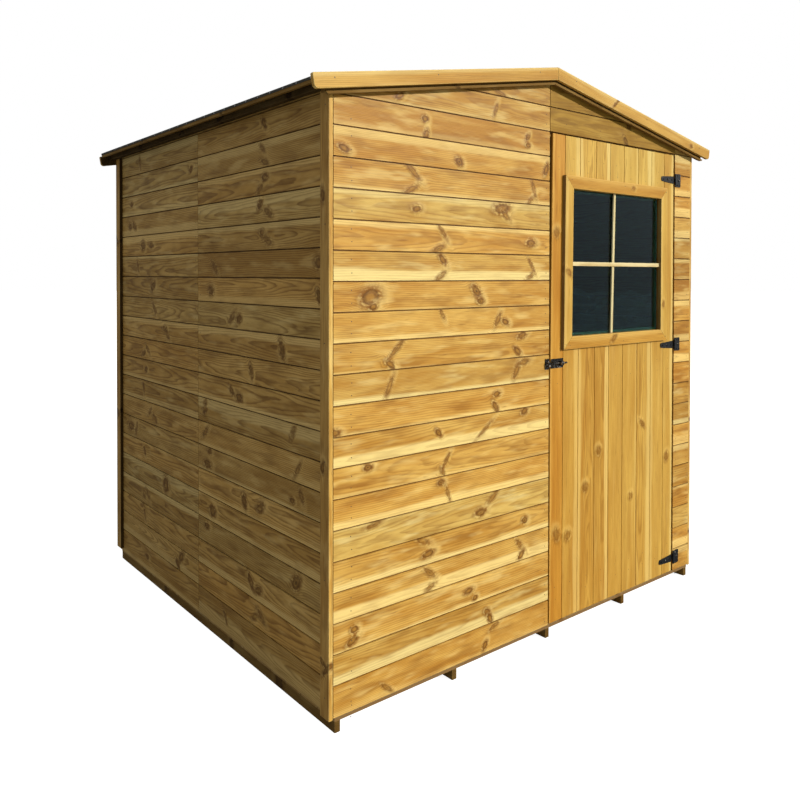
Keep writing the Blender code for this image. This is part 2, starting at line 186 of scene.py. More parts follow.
def pine(name, sap, light, mid, dark, knot, rough=0.5, ring=0.5, streak=0.35, relief=1.0, sawn=0.0,
         spec=0.4, knot_dark=0.9, halo_and_highlight=0.55, blot=1.0):
    """Planed or sawn softwood, read from the corner data that Timber writes."""
    s = Shader(name)
    gr = s.attr("gr")
    gu, gv, gw = s.split(gr)
    ry, rh, rs = s.split(s.attr("rg"))
    ap, aq, av = s.split(s.attr("ka"))
    bp, bq, bv = s.split(s.attr("kb"))
    sa, sb, end = s.split(s.attr("ks"))
    tone, sap_at, sap_on = s.split(s.attr("bd"))
    hue, edge, painted_shade = s.split(s.attr("bh"))

    _, broad = s.noise(s.scale(gr, (2.2, 13.0, 13.0)), 2.0, 0.55)
    nr, ng, nb = s.split(broad)
    _, blots = s.noise(s.scale(gr, (7.0 * blot, 34.0, 34.0)), 2.0, 0.5)
    lr, lg, lb = s.split(blots)
    _, mids = s.noise(s.scale(gr, (9.0, 120.0, 120.0)), 3.0, 0.6)
    mr, mg, mb = s.split(mids)
    fibre, _ = s.noise(s.scale(gr, (45.0, 900.0, 900.0)), 2.0, 0.6)
    _, spots = s.noise(s.scale(gr, (70.0, 95.0, 95.0)), 2.0, 0.6)
    sr, sg, sbl = s.split(spots)

    def knot_field(p, q):
        r = s.m("SQRT", s.add(s.mul(p, p), s.mul(q, q)))
        return s.mul(r, s.mad(s.sub(sr, 0.5), 0.34, 1.0))

    ra, rb = knot_field(ap, aq), knot_field(bp, bq)

    def swell(r, on, width):
        t = s.m("DIVIDE", r, width)
        return s.mul(on, s.m("EXPONENT", s.mul(s.mul(t, t), -1.0)))

    ga, gb = swell(ra, sa, 1.9), swell(rb, sb, 1.9)
    shift = s.add(s.mul(av, s.mul(ga, 0.95)), s.mul(bv, s.mul(gb, 0.95)))

    # growth rings: distance from a pith line that wanders slowly along the board
    y = s.add(s.sub(ry, shift), s.mul(s.sub(nr, 0.5), 0.016))
    h = s.add(s.add(rh, s.mul(s.sub(ng, 0.5), 0.030)), s.mul(s.add(ga, gb), 0.006))
    radius = s.m("SQRT", s.add(s.mul(y, y), s.mul(h, h)))
    phase = s.m("FRACT", s.add(s.mul(radius, rs), s.mul(s.sub(mg, 0.5), 0.55)))
    late = s.mul(s.step(phase, 0.35, 0.90), s.step(phase, 0.90, 1.0, 1.0, 0.0))

    # heartwood and sapwood with a wavy boundary, and broad patches of tone
    sapwood = s.mul(s.step(s.add(sap_at, s.mul(s.sub(nr, 0.5), 3.2)), -0.45, 0.75), sap_on)
    patch = s.add(s.add(s.mul(s.sub(nb, 0.5), 1.7), s.mul(s.sub(lr, 0.5), 1.9 * blot)), s.mul(s.sub(mr, 0.5), 0.8))
    col = s.mix(s.m("ADD", s.add(patch, 0.5), s.mul(tone, 0.5), clamp=True), mid, light)
    col = s.mix(sapwood, col, sap)
    ring_on = s.mul(s.mul(late, ring), s.mad(sapwood, -0.45, 1.0))
    col = s.mix(s.mul(ring_on, s.mad(mb, 0.9, 0.35)), col, dark)
    col = s.mix(s.mul(s.step(lg, 0.47, 0.72), s.mul(s.mad(sapwood, -0.6, 1.0), 0.42 * blot)), col, dark)
    col = s.mix(s.mul(s.step(lb, 0.52, 0.74), 0.42 * blot), col, sap)
    col = s.mix(s.mul(s.step(mr, 0.56, 0.78), s.mul(s.mad(sapwood, -0.6, 1.0), streak)), col, dark)
    col = s.mix(1.0, col, s.grey(s.mad(s.sub(fibre, 0.5), 0.22, 1.0)), "MULTIPLY")
    # orange or olive cast of the whole board
    cast = s.vec(s.mad(hue, 0.06, 1.0), s.mad(hue, -0.055, 1.0), s.mad(hue, -0.24, 1.0))
    col = s.mix(1.0, col, cast, "MULTIPLY")
    col = s.mix(1.0, col, s.grey(s.mad(tone, 0.10, 1.0)), "MULTIPLY")

    def knot_look(col, r, p, on):
        # pale flare on one side (partly a resinous halo, partly a painted highlight on the lit side of the swell),
        # darker pinched grain around it, brown core with a dark rim, and a painted glint beside the core
        pale_halo_and_highlight = s.mul(s.mul(s.step(r, 3.3, 1.2), s.step(s.add(s.mul(p, 0.5), s.mul(s.sub(sg, 0.5), 3.0)), -0.5, 1.0)),
                      s.mul(on, halo_and_highlight))
        col = s.mix(pale_halo_and_highlight, col, tuple(min(0.9, 0.5 * a + 0.55 * b) for a, b in zip(light, sap)))
        pinch = s.mul(s.mul(s.step(r, 2.4, 1.0), s.step(s.add(s.add(sbl, s.mul(lr, 0.6)), s.mul(late, 0.15)), 0.50, 0.95)), s.mul(on, 0.9))
        col = s.mix(pinch, col, dark)
        core = s.mul(s.step(r, 1.22, 0.80), on)
        rings = s.m("SINE", s.mad(r, 15.0, s.mul(sg, 4.0)))
        brown = tuple(0.40 * a + 0.60 * b for a, b in zip(dark, mid))
        tint = s.mix(s.step(s.add(r, s.mul(s.sub(sr, 0.5), 0.5)), 0.05, 0.95), brown, knot)
        tint = s.mix(s.mad(rings, 0.10, 0.12), tint, mid)
        heart = s.mul(s.step(r, 0.42, 0.16), s.step(s.add(nb, s.mul(lr, 0.4)), 0.60, 0.80))
        tint = s.mix(s.mul(heart, 0.8), tint, tuple(c * 0.3 for c in knot))
        rim = s.mul(s.mul(s.step(r, 0.70, 0.90), s.step(r, 1.14, 0.98)), s.step(sbl, 0.30, 0.62))
        tint = s.mix(s.mul(rim, 0.55), tint, tuple(c * 0.35 for c in knot))
        # glint: a pale crescent on one side of the core, a painted highlight
        glint = s.mul(s.mul(s.step(r, 0.95, 1.15), s.step(r, 1.75, 1.35)), s.step(s.sub(s.mul(p, -0.8), s.mul(s.sub(sbl, 0.5), 4.5)), 0.2, 1.5))
        col = s.mix(s.mul(glint, s.mul(on, 0.40 * halo_and_highlight)), col, sap)
        return s.mix(s.mul(core, s.mad(lg, -0.8, 0.32 + knot_dark)), col, tint), core

    col, core_a = knot_look(col, ra, ap, sa)
    col, core_b = knot_look(col, rb, bp, sb)

    # end grain darkens; arrises turn pale, as edge wear on bevelled planks and as a painted highlight on the upward
    # chamfers of cladding; painted shade darkens joint insides and downward chamfers
    col = s.mix(s.mul(end, 0.42), col, tuple(c * 0.55 for c in dark))
    col = s.mix(s.mul(edge, s.mad(sg, 0.5, 0.12)), col, sap)
    # painted shade of joints and downward chamfers
    col = s.mix(painted_shade, col, tuple(c * 0.5 for c in dark))
    s.put(s.bsdf.inputs["Base Color"], col)
    rough_v = s.add(s.mad(s.sub(mb, 0.5), 0.22, rough), s.add(s.mul(late, -0.05), s.mul(end, 0.2)))
    s.put(s.bsdf.inputs["Roughness"], rough_v)
    s.bsdf.inputs["Specular IOR Level"].default_value = spec

    cores = s.add(core_a, core_b)
    height = s.add(s.mul(s.add(ga, gb), 2.1 * relief), s.mul(cores, -0.5 * relief))
    height = s.add(height, s.mul(late, 0.10))
    height = s.add(height, s.mul(fibre, 0.08 + 0.35 * sawn))
    height = s.add(height, s.mul(nb, 2.2 * relief))
    height = s.add(height, s.mul(mr, 0.18 + 0.4 * sawn))
    s.put(s.bsdf.inputs["Normal"], s.bump(height, 0.001))
    return s.mat


# colours as linear light, from brightest sapwood to knots
HONEY = dict(sap=(0.83, 0.650, 0.250), light=(0.66, 0.415, 0.098), mid=(0.475, 0.240, 0.036),
             dark=(0.215, 0.080, 0.007), knot=(0.125, 0.046, 0.006))
YELLOW = dict(sap=(0.76, 0.535, 0.160), light=(0.63, 0.380, 0.070), mid=(0.455, 0.228, 0.030),
              dark=(0.245, 0.100, 0.008), knot=(0.150, 0.056, 0.007))
# a darker, more olive copy of the pine for the side walls and battens: partly the boards' own olive cast, partly
# painted shade
OLIVE_SHADE = dict(sap=(0.60, 0.405, 0.140), light=(0.48, 0.290, 0.080), mid=(0.335, 0.180, 0.038),
             dark=(0.145, 0.064, 0.010), knot=(0.080, 0.034, 0.006))
# a darker copy for the boards over the door: painted shade under the verge
SHADED = dict(sap=(0.49, 0.310, 0.066), light=(0.40, 0.228, 0.036), mid=(0.280, 0.142, 0.016),
              dark=(0.150, 0.064, 0.007), knot=(0.085, 0.036, 0.005))
PALE = dict(sap=(0.66, 0.47, 0.215), light=(0.57, 0.375, 0.145), mid=(0.47, 0.275, 0.090),
            dark=(0.29, 0.140, 0.035), knot=(0.13, 0.052, 0.014))
# dark pine: painted shade on the left eave strip, the front verge battens and the architrave's left faces; the floor
# bearers' own treated colour
SHADE_AND_TREATED = dict(sap=(0.30, 0.195, 0.062), light=(0.24, 0.140, 0.036), mid=(0.165, 0.088, 0.018),
            dark=(0.080, 0.036, 0.006), knot=(0.045, 0.020, 0.005))
CREAM = dict(sap=(0.74, 0.59, 0.290), light=(0.68, 0.50, 0.210), mid=(0.56, 0.37, 0.120),
             dark=(0.34, 0.190, 0.050), knot=(0.15, 0.062, 0.015))
# near-black pine for faces deep in shade: painted shade on the inner faces of the rear trims and bargeboards, the
# rear-left verge batten and the eave rails
DEEP_SHADE = dict(sap=(0.100, 0.062, 0.022), light=(0.075, 0.044, 0.013), mid=(0.048, 0.026, 0.007),
             dark=(0.022, 0.011, 0.003), knot=(0.016, 0.008, 0.003))

MAT = {
    "front": pine("front_pine", **HONEY, rough=0.52, ring=0.46, streak=0.62, spec=0.16, halo_and_highlight=0.7),
    # over the door: painted shade
    "over": pine("over_door_painted_shade_pine", **SHADED, rough=0.55, ring=0.40, streak=0.36, spec=0.10),
    "door": pine("door_pine", **YELLOW, rough=0.50, ring=0.55, streak=0.62, relief=0.8, spec=0.14, blot=0.45, knot_dark=0.66, halo_and_highlight=0.75),
    # side walls: partly painted shade
    "side": pine("side_painted_shade_pine", **OLIVE_SHADE, rough=0.60, ring=0.78, streak=0.52, halo_and_highlight=0.70, spec=0.12, knot_dark=0.66),
    "barge": pine("bargeboard_pine", **HONEY, rough=0.52, ring=0.40, streak=0.40, spec=0.12, blot=0.5),
    "batten": pine("batten_painted_shade_pine", **OLIVE_SHADE, rough=0.60, ring=0.5, streak=0.35, spec=0.10),
    # dark shaded pine: painted shade
    "eave": pine("shaded_pine", **SHADE_AND_TREATED, rough=0.75, ring=0.5, streak=0.4, spec=0.08),
    # near-black pine: painted shade
    "deep": pine("deep_shade_pine", **DEEP_SHADE, rough=0.80, ring=0.4, streak=0.4, spec=0.05),
    "sawn": pine("sawn_pine", **PALE, rough=0.80, ring=0.45, streak=0.30, sawn=1.0, spec=0.15),
    "floor": pine("floor_pine", **PALE, rough=0.72, ring=0.55, streak=0.30, sawn=0.4, spec=0.18),
    "bearer": pine("treated_pine", **SHADE_AND_TREATED, rough=0.82, ring=0.5, streak=0.4, sawn=1.0, spec=0.10),
    "bar": pine("glazing_bar_pine", **CREAM, rough=0.6, ring=0.20, streak=0.12, spec=0.18),
}


def metal(name, base, roughness, metallic, worn_and_glint, grain=260.0, bump=0.00012):
    """Painted or plated metal: worn edges come from the mesh, mottling from noise."""
    s = Shader(name)
    co = s.coords()
    a, _ = s.noise(co, 4.0, 0.6, grain)
    b, _ = s.noise(co, 2.0, 0.5, grain * 0.16)
    spot = s.step(s.add(s.mul(a, 0.55), s.mul(b, 0.45)), 0.55, 0.68)
    s.put(s.bsdf.inputs["Base Color"], s.mix(s.mul(spot, 0.55), base, worn_and_glint))
    s.put(s.bsdf.inputs["Roughness"], s.add(s.mad(s.sub(a, 0.5), 0.35, roughness), s.mul(spot, 0.12)))
    s.bsdf.inputs["Metallic"].default_value = metallic
    s.put(s.bsdf.inputs["Normal"], s.bump(s.add(a, s.mul(b, 2.0)), bump))
    return s.mat


MAT["hinge"] = metal("black_hinge_metal", (0.020, 0.021, 0.023), 0.36, 0.55, (0.060, 0.058, 0.055))
# the latch's bright worn spots are partly wear, partly a painted highlight
MAT["latch"] = metal("black_latch_metal", (0.055, 0.052, 0.048), 0.24, 0.85, (0.85, 0.80, 0.70), 110.0, 0.0012)
MAT["nail"] = metal("nail_metal", (0.075, 0.060, 0.045), 0.5, 0.6, (0.12, 0.08, 0.05))
MAT["clout"] = metal("clout_metal", (0.33, 0.33, 0.32), 0.42, 0.9, (0.20, 0.17, 0.13))


def felt_material():
    s = Shader("mineral_felt_granules")
    co = s.coords()
    cell, tint = s.voronoi(co, 900.0)
    r, g, b = s.split(tint)
    broad, _ = s.noise(co, 4.0, 0.6, 7.0)
    dirt_and_joint_shade, _ = s.noise(s.scale(co, (1.0, 0.25, 1.0)), 3.0, 0.6, 16.0)
    col = s.mix(r, (0.022, 0.020, 0.016), (0.078, 0.072, 0.058))
    col = s.mix(s.mul(s.step(g, 0.78, 0.95), 0.6), col, (0.150, 0.140, 0.115))
    col = s.mix(s.step(broad, 0.35, 0.7, 0.0, 0.35), col, (0.042, 0.040, 0.032))
    col = s.mix(s.step(dirt_and_joint_shade, 0.52, 0.75, 0.0, 0.35), col, (0.085, 0.082, 0.066))
    s.put(s.bsdf.inputs["Base Color"], col)
    s.put(s.bsdf.inputs["Roughness"], s.mad(b, 0.12, 0.84))
    s.bsdf.inputs["Specular IOR Level"].default_value = 0.25
    s.put(s.bsdf.inputs["Normal"], s.bump(s.add(s.mul(cell, -1.0), s.mul(broad, 1.2)), 0.0009))
    return s.mat


MAT["felt"] = felt_material()


def glass_material():
    s = Shader("window_glass_clear")
    co = s.coords()
    dust, _ = s.noise(s.scale(co, (1.0, 1.0, 0.55)), 4.0, 0.65, 6.5)
    fine, _ = s.noise(co, 3.0, 0.6, 60.0)
    s.put(s.bsdf.inputs["Base Color"], s.mix(s.step(dust, 0.4, 0.8, 0.0, 0.35), (0.20, 0.54, 0.66), (0.16, 0.42, 0.52)))
    s.bsdf.inputs["Transmission Weight"].default_value = 1.0
    s.bsdf.inputs["Specular IOR Level"].default_value = 0.25
    s.bsdf.inputs["IOR"].default_value = 1.45
    s.put(s.bsdf.inputs["Roughness"], s.add(s.step(dust, 0.45, 0.85, 0.0, 0.05), s.mul(fine, 0.012)))
    wave, _ = s.noise(co, 1.0, 0.5, 5.0)
    s.put(s.bsdf.inputs["Normal"], s.bump(wave, 0.0012))
    return s.mat


MAT["glass"] = glass_material()


# ---------------------------------------------------------------- timber
FIELDS = ("gr", "rg", "ka", "kb", "ks", "bd", "bh")
FAR = (40.0, 40.0, 0.0)


def knot(u, v, a=0.016, b=0.010, tilt=0.0, s=1.0):
    """A knot at (u, v) in metres in its board: half length, half width, tilt in degrees, strength."""
    t = math.radians(tilt)
    return {"u": u, "v": v, "a": a, "b": b, "c": math.cos(t), "s": math.sin(t), "on": s}


def whorl(rng, u, half, big=1.0):
    """One or two knots that sit together across a board of half width half."""
    kind = rng.random()
    if kind < 0.42:
        return [knot(u, rng.uniform(-0.6, 0.6) * half, big * rng.uniform(0.010, 0.021),
                     big * rng.uniform(0.007, 0.012), rng.uniform(-25, 25))]
    if kind < 0.80:
        side = rng.choice((-1, 1))
        return [knot(u, side * half * rng.uniform(0.35, 0.6), big * rng.uniform(0.016, 0.030),
                     big * rng.uniform(0.005, 0.008), side * rng.uniform(35, 70)),
                knot(u + rng.uniform(-0.012, 0.02), -side * half * rng.uniform(0.2, 0.65),
                     big * rng.uniform(0.009, 0.022), big * rng.uniform(0.005, 0.010), -side * rng.uniform(10, 70))]
    return [knot(u, rng.uniform(-0.5, 0.5) * half, 0.007, 0.005, rng.uniform(-30, 30), 0.9)]


def some_knots(rng, length, half, every=0.42, big=1.0):
    out, u = [], rng.uniform(0.10, every * 1.1)
    while u < length - 0.05:
        out += whorl(rng, u, half, big)
        u += every * rng.uniform(0.65, 1.45)
    return out


def grain(rng, tone=None, sap=None, hue=None, flat=None):
    """How a board was cut: where the pith lay, ring spacing, tone and sapwood edge."""
    flat = rng.random() < 0.55 if flat is None else flat
    g = {"tone": rng.gauss(0.0, 0.32) if tone is None else tone,
         "hue": rng.gauss(0.0, 0.45) if hue is None else hue,
         "off": (rng.uniform(0, 40), rng.uniform(0, 4), rng.uniform(0, 4)),
         "space": rng.uniform(0.0038, 0.0066)}
    if flat:
        g.update(v0=rng.uniform(-0.028, 0.028), h0=rng.uniform(0.020, 0.060), lean=rng.choice((-1, 1)) * rng.uniform(0.012, 0.034))
    else:
        g.update(v0=rng.choice((-1, 1)) * rng.uniform(0.055, 0.13), h0=rng.uniform(0.02, 0.06), lean=rng.uniform(-0.015, 0.015))
    if sap is None:
        r = rng.random()
        side = rng.choice((-1, 1))
        sap = (side, rng.uniform(0.15, 0.45), rng.uniform(0.5, 0.95)) if r < 0.6 else (side, 0.0, 0.0)
    g["sap"] = sap                                 # (edge it lies on, share of the width, strength)
    return g


def tongued(width, thick=CLAD_T, tongue=True, groove=True, chamfer=0.0023, deep=0.0034, gap=0.0016):
    """Outline (v, w) of a V-jointed tongue and groove board, face at w = 0."""
    h = width / 2
    t0, t1 = -0.36 * thick, -0.66 * thick
    pts = [(-h + chamfer, 0.0), (h - chamfer, 0.0), (h - gap, -deep)]
    if tongue:
        pts += [(h - gap, t0), (h + 0.0050, t0 - 0.0003), (h + 0.0055, t0 - 0.0009), (h + 0.0055, t1 + 0.0009),
                (h + 0.0050, t1 + 0.0003), (h - gap, t1)]
    pts += [(h - gap, -thick), (-h + gap, -thick)]
    if groove:
        pts += [(-h + gap, t1 - 0.0004), (-h + 0.0062, t1 - 0.0002), (-h + 0.0062, t0 + 0.0002), (-h + gap, t0 + 0.0004)]
    pts += [(-h + gap, -deep)]
    return pts


def plank(width, thick):
    """Plain rectangle, face at w = 0; arrises come from a bevel."""
    h = width / 2
    return [(-h, 0.0), (h, 0.0), (h, -thick), (-h, -thick)]


class Timber:
    """Boards gathered into one mesh."""

    def __init__(self):
        self.verts, self.faces, self.mats = [], [], []
        self.data = {f: [] for f in FIELDS}

    def stick(self, origin, along, face, length, outline, rng, cut=None, knots=None, clips=(), bevel=0.0,
              every=0.42, big=1.0, mat=0, segments=2, painted_shade=0.0, alt=None):
        """A board from origin, running along, with its face towards face. clips are (point, normal) in the frame."""
        U, N = Vector(along).normalized(), Vector(face).normalized()
        V = N.cross(U)
        O = Vector(origin)
        half = max(abs(v) for v, _ in outline)
        cut = cut or grain(rng)
        if knots is None:
            knots = some_knots(rng, length, half, every, big)
        groups = []
        for k in sorted(knots, key=lambda k: k["u"]):
            if groups and len(groups[-1]) < 2 and k["u"] - groups[-1][0]["u"] < 0.075:
                groups[-1].append(k)
            else:
                groups.append([k])
        borders = [(a[-1]["u"] + b[0]["u"]) / 2 for a, b in zip(groups, groups[1:])]
        inner = [b for b in borders if 0.004 < b < length - 0.004]
        bm = bmesh.new()
        rings = [[bm.verts.new((u, v, w)) for v, w in outline] for u in (0.0, *inner, length)]
        n = len(outline)
        for r0, r1 in zip(rings, rings[1:]):
            for i in range(n):
                j = (i + 1) % n
                bm.faces.new((r0[i], r0[j], r1[j], r1[i]))
        bm.faces.new(rings[0])
        bm.faces.new(rings[-1][::-1])
        for point, normal in clips:
            p, q = Vector(point) - O, Vector(normal)
            lp = Vector((p.dot(U), p.dot(V), p.dot(N)))
            lq = Vector((q.dot(U), q.dot(V), q.dot(N)))
            cutting = bmesh.ops.bisect_plane(bm, geom=bm.verts[:] + bm.edges[:] + bm.faces[:], dist=1e-6,
                                             plane_co=lp, plane_no=lq, clear_outer=True)
            rim = [e for e in cutting["geom_cut"] if isinstance(e, bmesh.types.BMEdge) and e.is_boundary]
            if rim:
                bmesh.ops.holes_fill(bm, edges=rim, sides=0)
        if not bm.faces:
            bm.free()
            return self
        bmesh.ops.recalc_face_normals(bm, faces=bm.faces)
        if bevel:
            bm.normal_update()
            sharp = [e for e in bm.edges if len(e.link_faces) == 2 and e.calc_face_angle(0.0) > math.radians(35)]
            bmesh.ops.bevel(bm, geom=sharp, offset=bevel, segments=segments, profile=0.5, affect="EDGES",
                            clamp_overlap=True)
            bmesh.ops.recalc_face_normals(bm, faces=bm.faces)
        bm.normal_update()
        side, share, sap_on = cut["sap"]
        bound = side * (half - share * 2 * half)
        base = len(self.verts)
        thick, jointed = -min(w for _, w in outline), len(outline) > 7 and painted_shade == 0.0
        bm.verts.index_update()
        for vert in bm.verts:
            self.verts.append(O + U * vert.co.x + V * vert.co.y + N * vert.co.z)
        flip = (U.cross(V)).dot(N) < 0
        for f in bm.faces:
            mid = f.calc_center_median()
            cell = sum(1 for b in borders if b < mid.x)
            pair = groups[cell] if groups else []
            nrm = f.normal
            is_end = 1.0 if abs(nrm.x) > 0.6 else 0.0
            is_edge = 1.0 if max(abs(nrm.x), abs(nrm.y), abs(nrm.z)) < 0.93 else 0.0
            self.faces.append([base + loop.vert.index for loop in f.loops][::-1 if flip else 1])
            out = U * nrm.x + V * nrm.y + N * nrm.z
            self.mats.append(1 if alt is not None and out.dot(alt) > 0.7 else mat)
            rows = []
            # on cladding the upward-facing chamfer is flagged pale, a painted highlight, and the downward one not
            if jointed and is_edge and abs(mid.z) < 0.004:
                is_edge = 1.0 if out.z > 0.3 else 0.0 if out.z < -0.3 else 0.3
            # painted shade: faces deep inside the tongue-and-groove joints and the downward chamfers of cladding are
            # darkened; other faces take the passed-in level
            dirt_and_joint_shade = 0.85 if jointed and not is_end and -thick + 0.0008 < mid.z < -0.0019 else painted_shade
            if jointed and out.z < -0.3 and abs(mid.z) < 0.004 and not is_end:
                dirt_and_joint_shade = 0.5
            for loop in f.loops:
                u, v, w = loop.vert.co
                fields = []
                for k in (pair + [None, None])[:2]:
                    if k is None or is_end:
                        fields.append((FAR, 0.0))
                    else:
                        du, dv = u - k["u"], v - k["v"]
                        fields.append((((k["c"] * du + k["s"] * dv) / k["a"], (k["c"] * dv - k["s"] * du) / k["b"], dv),
                                       k["on"]))
                rows.append(((u + cut["off"][0], v + cut["off"][1], w + cut["off"][2]),
                             (v - cut["v0"], cut["h0"] + cut["lean"] * (u - length / 2) + w, 1.0 / cut["space"]),
                             fields[0][0], fields[1][0], (fields[0][1], fields[1][1], is_end),
                             (cut["tone"], side * (v - bound) / 0.010, sap_on), (cut["hue"], is_edge, dirt_and_joint_shade)))
            for row in (rows[::-1] if flip else rows):
                for name, value in zip(FIELDS, row):
                    self.data[name].extend(value)
        bm.free()
        return self

    def make(self, name, body, material, nodes=(), slot=None):
        me = bpy.data.meshes.new(name)
        me.from_pydata(self.verts, [], self.faces)
        for field in FIELDS:
            layer = me.attributes.new(field, "FLOAT_VECTOR", "CORNER")
            layer.data.foreach_set("vector", self.data[field])
        materials = material if isinstance(material, (list, tuple)) else [material]
        for m in materials:
            me.materials.append(MAT[m])
        me.polygons.foreach_set("material_index", self.mats)
        me.update()
        return place(name, me, body, nodes)


def sprung(x, z):
    """How far the door boards stand out at their top left corner."""
    return 0.0092 * max(0.0, min(1.0, (0.70 - x) / 0.69)) * max(0.0, min(1.0, (z - 1.0) / 0.80))


def place(name, me, body, nodes=()):
    if body == "door" and name != "window_inner_battens":
        for v in me.vertices:
            v.co.y -= sprung(v.co.x, v.co.z)
    ob = bpy.data.objects.new(name, me)
    bpy.context.scene.collection.objects.link(ob)
    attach(ob, body)
    if nodes:
        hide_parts(*nodes)
    return ob


# ---------------------------------------------------------------- walls
GABLE_R = (Vector((0, 0, GABLE_TOP)), UP_R)       # keep what lies under the roof slopes
GABLE_L = (Vector((0, 0, GABLE_TOP)), UP_L)


def courses(line, z0, z1):
    """(index, bottom, top) of each board between z0 and z1, joints on the line."""
    k = math.floor((z0 - line) / COURSE + 1e-4)
    out = []
    while True:
        a, b = line + k * COURSE, line + (k + 1) * COURSE
        if a >= z1 - 1e-4:
            return out
        lo = max(a, z0)
        if b - lo > 0.002:
            out.append((k, lo, b))
        k += 1


def wall(piece, start, along, face, length, line, z0, z1, rng, clips=(), hand=None, every=0.45, big=1.0, mat=0):
    """Horizontal cladding: start is the face's corner at z = 0."""
    down = 0.0
    for k, lo, hi in courses(line, z0, z1):
        cut_low = lo > line + k * COURSE + 1e-5
        if hi - lo < 0.03 and cut_low:
            down = hi - lo
            continue
        outline = tongued(COURSE)
        if down:
            outline = [(v - down if v < 0 else v, w) for v, w in tongued(COURSE, groove=False)]
            down = 0.0
        centre = line + (k + 0.5) * COURSE
        extra = list(clips)
        if cut_low:
            extra.append((Vector((0, 0, lo)), Vector((0, 0, -1))))
        if hi > z1:
            extra.append((Vector((0, 0, z1)), Vector((0, 0, 1))))
        cut, knots = None, None
        if hand is not None:
            cut, knots = hand(k, rng)
        piece.stick(Vector(start) + Z * centre, along, face, length, outline, rng, cut=cut, knots=knots,
                    clips=extra, every=every, big=big, mat=mat)
    return piece


# the front-left panel: what each board looks like, bottom board first.
# (tone, sapwood edge -1 low / 1 high, share of width, strength, hue, [(x in courses, height in the board 0..1, a mm, b mm, tilt)])
FRONT = [
    (-0.25, -1, 0.15, 0.3, 0.5, [(2.25, 0.25, 24, 6, -40), (6.95, 0.25, 14, 8, 60), (7.45, 0.85, 22, 7, 20)]),
    (-0.35, -1, 0.38, 0.8, -0.2, [(7.05, 0.50, 13, 9, -30), (7.22, 0.20, 16, 9, -60)]),
    (0.05, -1, 0.16, 0.8, 0.3, [(0.90, 0.62, 12, 9, 0), (0.82, 0.27, 19, 9, 25), (6.08, 0.54, 17, 8, 5), (6.42, 0.20, 10, 7, 20)]),
    (-0.05, -1, 0.42, 0.85, 0.3, [(4.18, 0.68, 27, 8, -38), (4.22, 0.18, 20, 8, 25), (8.90, 0.60, 30, 8, -50), (8.95, 0.22, 18, 9, 40)]),
    (-0.10, -1, 0.25, 0.9, 0.2, [(3.85, 0.88, 24, 8, -20), (4.10, 0.37, 20, 9, 10), (9.15, 0.55, 13, 10, -10)]),
    (0.45, 1, 0.10, 0.3, -0.7, [(1.70, 0.90, 26, 7, 10), (6.70, 0.33, 22, 10, 5), (7.35, 0.80, 30, 8, 35)]),
    (0.00, -1, 0.33, 0.9, 0.6, [(4.70, 0.80, 12, 8, 0), (5.05, 0.34, 24, 6, -70)]),
    (0.10, -1, 0.18, 0.4, 0.3, [(1.45, 0.85, 14, 8, 0), (4.95, 0.55, 28, 6, 55), (4.78, 0.18, 16, 6, -60)]),
    (-0.15, -1, 0.42, 0.95, 0.2, [(4.58, 0.60, 15, 7, -45), (6.90, 0.42, 34, 5, 35), (9.10, 0.86, 14, 9, 20)]),
    (0.05, -1, 0.16, 0.7, 0.5, [(0.12, 0.15, 16, 9, 0), (7.55, 0.70, 14, 8, 5), (7.47, 0.24, 19, 8, -55)]),
    (-0.05, -1, 0.22, 0.9, -0.1, [(2.35, 0.45, 30, 7, 65), (8.65, 0.50, 26, 9, 60), (9.05, 0.80, 24, 9, 10)]),
    (-0.20, -1, 0.10, 0.5, 0.3, [(2.65, 0.70, 34, 7, 42), (2.38, 0.20, 20, 9, -35), (8.95, 0.86, 20, 9, 15), (8.70, 0.26, 19, 8, -40)]),
    (0.35, -1, 0.20, 0.7, 0.3, [(4.75, 0.82, 18, 6, -60), (7.60, 0.52, 24, 8, 60), (8.00, 0.42, 15, 9, -20)]),
    (-0.15, -1, 0.14, 0.5, 0.5, [(1.55, 0.48, 30, 21, 15), (1.66, 0.16, 14, 8, 20), (6.45, 0.62, 22, 12, -40), (6.66, 0.24, 14, 9, 0)]),
    (-0.10, -1, 0.42, 0.95, 0.0, [(4.76, 0.76, 18, 9, -45), (4.68, 0.18, 27, 7, 35), (9.50, 0.60, 26, 6, -55), (9.45, 0.18, 22, 8, 30)]),
    (0.05, 1, 0.20, 0.7, 0.5, [(4.72, 0.80, 28, 6, -52), (4.55, 0.14, 24, 8, 25), (9.46, 0.48, 20, 10, 0)]),
    (0.20, 1, 0.25, 0.4, -0.6, [(3.55, 0.50, 15, 9, 10), (7.78, 0.74, 31, 15, 8), (8.02, 0.48, 22, 8, -35)]),
    (-0.20, -1, 0.18, 0.6, 0.3, [(3.38, 0.78, 32, 8, -40), (3.28, 0.15, 30, 7, 28), (9.62, 0.60, 27, 7, -70), (9.42, 0.16, 22, 6, 40)]),
    (-0.30, 1, 0.35, 0.6, 0.5, [(0.48, 0.28, 17, 9, -20), (5.56, 0.32, 14, 11, -30), (10.35, 0.45, 20, 9, 65)]),
    # the last four boards' low tone is painted shade under the verge and bargeboard
    (-0.65, -1, 0.20, 0.4, 0.5, [(3.92, 0.66, 11, 9, 0), (3.98, 0.14, 13, 8, 70), (9.24, 0.62, 12, 7, 50), (9.26, 0.30, 11, 7, 0)]),
    (-0.50, -1, 0.15, 0.4, 0.0, [(2.78, 0.30, 16, 8, 30), (7.45, 0.45, 21, 6, 68)]),
    (-0.60, -1, 0.10, 0.1, -0.2, [(7.70, 0.12, 26, 5, -15)]),
    (-0.90, -1, 0.10, 0.0, -0.3, []),
]


